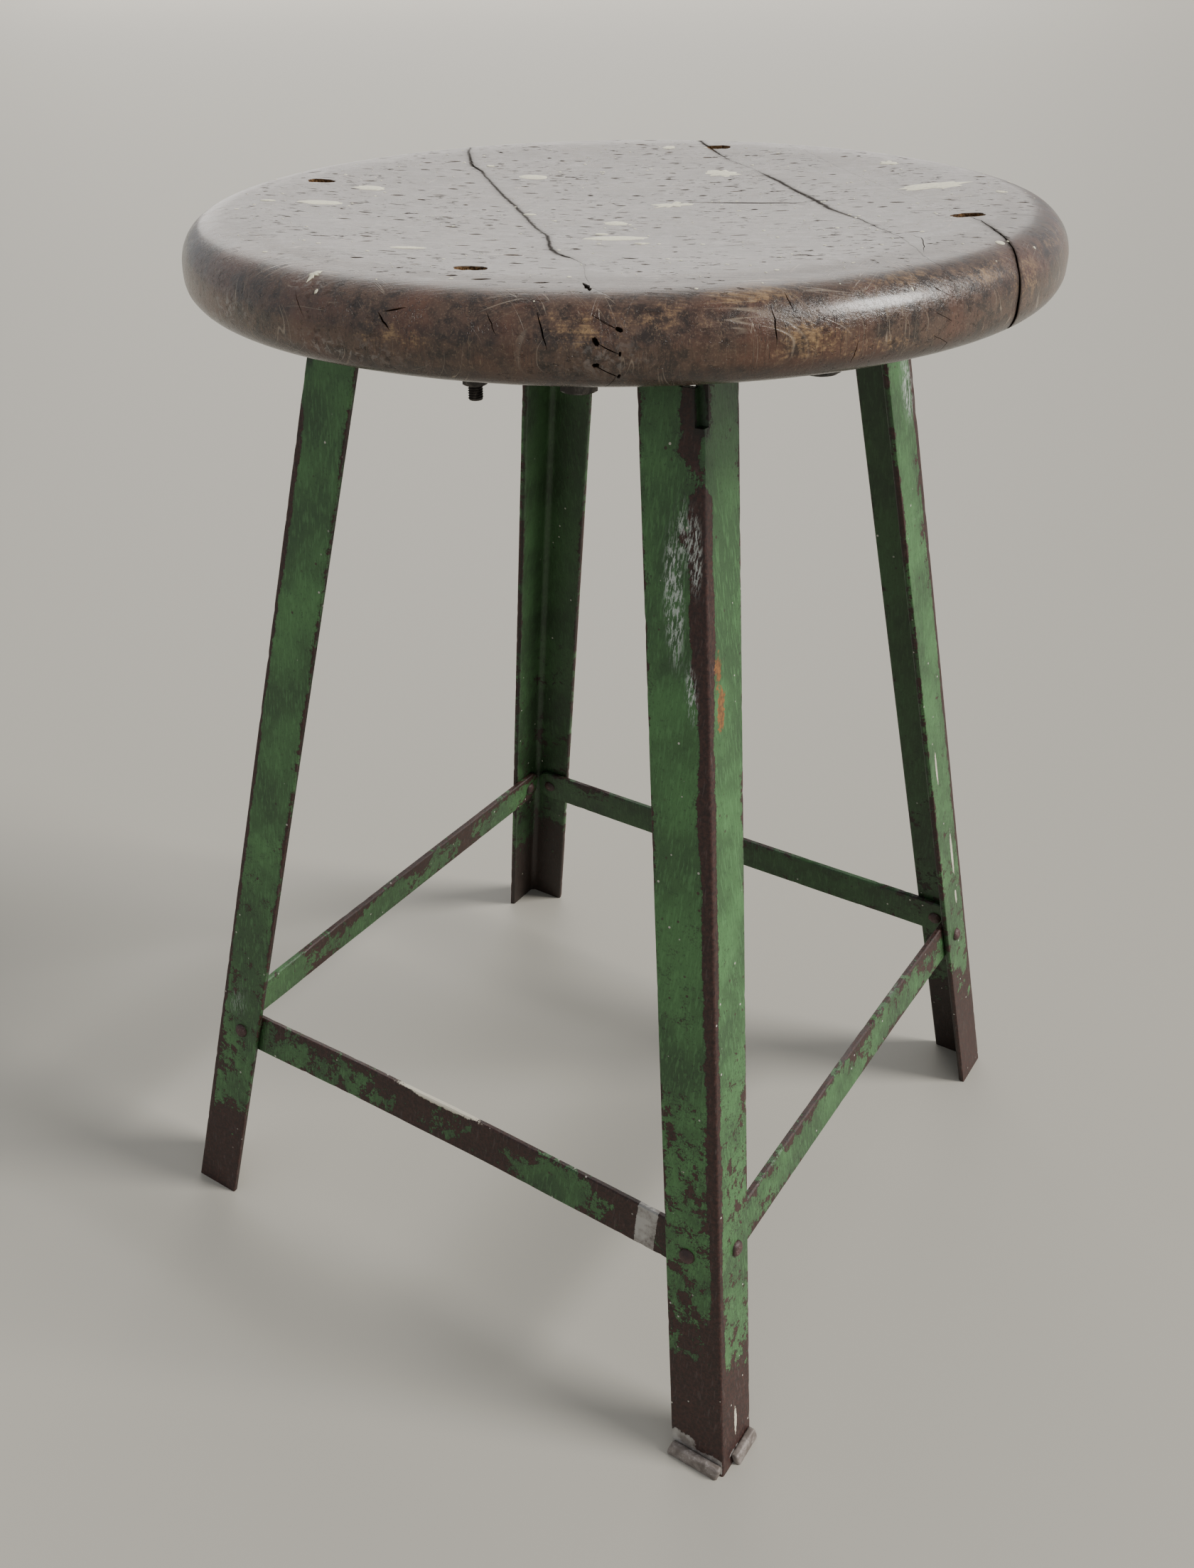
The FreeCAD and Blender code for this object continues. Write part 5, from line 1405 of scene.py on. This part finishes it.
def make_seat_bolts(material):
    """Slotted cheese-head bolts, threaded where they come through the ring."""
    head_radius, slot_width, slot_depth = 4.25, 1.2, 1.8
    slot_turns = (25, 70, -40, 10)
    for node, turn in zip(BOLTS, slot_turns):
        low, high = box_mm(node)
        x, y = (low[:2] + high[:2]) / 2
        seat = high[2] - BOLT_HEAD_HEIGHT
        thread_top = UNDERSIDE + 2.0
        head = [(0, seat - 0.1), (2.45, seat - 0.1), (head_radius, seat), (head_radius, high[2] - 0.5),
                (head_radius - 0.4, high[2] - 0.1), (0, high[2])]
        shank = lathe([(0, thread_top - 1.0), (2.3, thread_top - 1.0), (2.45, thread_top), (2.45, seat + 0.5),
                       (0, seat + 0.5)], 24)
        top = make_object("head", *lathe(head, 32))
        slot = tube([[(-9, -slot_width / 2, z), (9, -slot_width / 2, z), (9, slot_width / 2, z),
                      (-9, slot_width / 2, z)] for z in (high[2] - slot_depth, high[2] + 2)])
        spin = Matrix.Rotation(math.radians(turn), 4, "Z")
        boolean(top, make_object("slot", *moved(slot, spin)))
        boolean(top, make_object("shank", *shank), "UNION")
        boolean(top, make_object("thread", *threaded(2.5, 0.8, low[2], thread_top)), "UNION")
        put_points(top, points_of(top) + np.array([x, y, 0]))
        top.name = node.replace("seat_", "")
        piece(top, material, "fastener_steel", node, angle=30)


def make_group(node, name, material, slot, build, angle=35):
    """One piece for a node of repeated fasteners; build gives each from its box and number."""
    parts = [build(low, high, number) for number, (low, high) in enumerate(spots_of(node))]
    piece(make_object(name, *join_parts(parts)), material, slot, node, angle=angle)


def at_spot(part, low, high, z, turn=0.0):
    x, y = (low[:2] + high[:2]) / 2
    spin = Matrix.Rotation(math.radians(turn), 4, "Z")
    return moved(part, Matrix.Translation((x, y, z)) @ spin)


def coach_screw(low, high, number):
    """Hexagon head and a plain pointed shank, pointing up; its thread would be inside the wood."""
    head_height = 5.0
    head = hexagon_head(12.0, head_height, 0.7)
    seat = low[2] + head_height
    screw = lathe([(0, 0), (3.5, 0), (3.5, 6), (3.3, 8), (3.0, high[2] - seat - 5), (0, high[2] - seat)], 20)
    both = join_parts([head, moved(screw, Matrix.Translation((0, 0, head_height - 0.05)))])
    return at_spot(both, low, high, low[2], 23 * number)


def make_fasteners(steel, rivet_metal):
    make_group("bolt_nuts", "nuts", steel, "fastener_steel",
               lambda low, high, n: at_spot(hexagon_head(8.0, high[2] - low[2], 0.5, 2.2), low, high, low[2],
                                            17 * n))
    make_group("bolt_washers", "small_washers", steel, "fastener_steel",
               lambda low, high, n: at_spot(washer(10, 5.4, high[2] - low[2]), low, high, low[2]))
    make_group("coach_washers", "large_washers", steel, "fastener_steel",
               lambda low, high, n: at_spot(washer(15, 7.4, high[2] - low[2]), low, high, low[2]))
    make_group("coach_screws", "coach_screws_threaded", steel, "fastener_steel", coach_screw)

    def tab_rivet(low, high, number):
        part = dimpled(lathe(rivet_profile(high[2] - low[2] - 4.6), 24), 0.4, number + 3.0)
        return at_spot(part, low, high, low[2] + 2.3)

    make_group("tab_rivets", "ring_rivets", rivet_metal, "rivet_steel", tab_rivet, angle=50)


# --------------------------------------------------------------- camera and stage

def make_camera():
    """The photograph's viewpoint, solved from the perspective of the seat and the legs."""
    data = bpy.data.cameras.new("camera")
    data.sensor_width = 36.0
    data.lens = 32.56
    data.shift_x = 0.0470
    data.shift_y = 0.0189
    data.clip_start = 0.02
    data.clip_end = 40.0
    camera = bpy.data.objects.new("camera", data)
    bpy.context.scene.collection.objects.link(camera)
    yaw, pitch, roll = (math.radians(angle) for angle in (-35.41, -32.8, -1.43))
    look = Vector((math.cos(pitch) * math.sin(yaw), math.cos(pitch) * math.cos(yaw), math.sin(pitch)))
    level = Vector((math.cos(yaw), -math.sin(yaw), 0))
    up = level.cross(look)
    right = level * math.cos(roll) + up * math.sin(roll)
    up = up * math.cos(roll) - level * math.sin(roll)
    turned = Matrix((right, up, -look)).transposed().to_4x4()
    camera.matrix_world = Matrix.Translation(Vector((301.4, -495.9, 574.1)) * MM) @ turned
    bpy.context.scene.camera = camera


def area_light(name, place, aim, size, power, colour):
    data = bpy.data.lights.new(name, "AREA")
    data.shape = "DISK"
    data.size = size
    data.energy = power
    data.color = colour
    lamp = bpy.data.objects.new(name, data)
    bpy.context.scene.collection.objects.link(lamp)
    lamp.location = place
    lamp.rotation_euler = (Vector(aim) - Vector(place)).to_track_quat("-Z", "Y").to_euler()


def make_stage():
    """A plain pale floor and soft studio light."""
    s = Shader("floor")
    s.set(Base_Color=(0.43, 0.410, 0.360, 1), Roughness=0.62)
    reach = 30000
    corners = [(-reach, -reach, 0), (reach, -reach, 0), (reach, reach, 0), (-reach, reach, 0)]
    floor = make_object("floor", corners, [(0, 1, 2, 3)])
    floor.data.materials.append(s.material)
    floor.location.z = cad_low[2]

    world = bpy.data.worlds.new("studio")
    bpy.context.scene.world = world
    world.use_nodes = True
    background = world.node_tree.nodes["Background"]
    background.inputs["Color"].default_value = (0.95, 0.97, 1.0, 1)
    background.inputs["Strength"].default_value = 0.50
    sun = bpy.data.lights.new("key", "SUN")
    sun.energy = 3.6
    sun.angle = math.radians(20)
    sun.color = (1.0, 0.97, 0.92)
    key = bpy.data.objects.new("key", sun)
    bpy.context.scene.collection.objects.link(key)
    key.rotation_euler = Vector((0.71, 0.30, 0.64)).to_track_quat("Z", "Y").to_euler()
    area_light("wall", (-8.0, 11.3, 4.4), (0, 0, 0.45), 12.0, 760, (1.0, 0.955, 0.890))


# ------------------------------------------------------------------- the whole stool

make_camera()
green = chipped_enamel("green_paint", 0.0, 1.0)
bars = chipped_enamel("stretcher_paint", 0.05, 0.9)
rivet_metal = old_steel("rivet_steel", (0.035, 0.018, 0.016), (0.075, 0.038, 0.034), (0.19, 0.13, 0.12), 0.5)
ring_metal = old_steel("ring_steel", (0.022, 0.026, 0.022), (0.050, 0.056, 0.048), (0.10, 0.085, 0.07), 0.6)
black_steel = old_steel("fastener_steel", (0.030, 0.027, 0.025), (0.085, 0.076, 0.068), (0.22, 0.20, 0.18),
                        0.42, 0.6)
strip_metal = old_steel("strip_metal", (0.15, 0.125, 0.11), (0.27, 0.235, 0.215), (0.46, 0.43, 0.41),
                        0.55, 0.2)

make_seat(seat_wood())
make_drops(cream_paint())
for corner, turn in CORNERS:
    make_leg(corner, turn, green)
    make_stretcher(corner, turn, bars)
make_stretcher_rivets(rivet_metal)
make_foot_strips(strip_metal)
make_ring(ring_metal)
make_seat_bolts(black_steel)
make_fasteners(black_steel, rivet_metal)
make_stage()
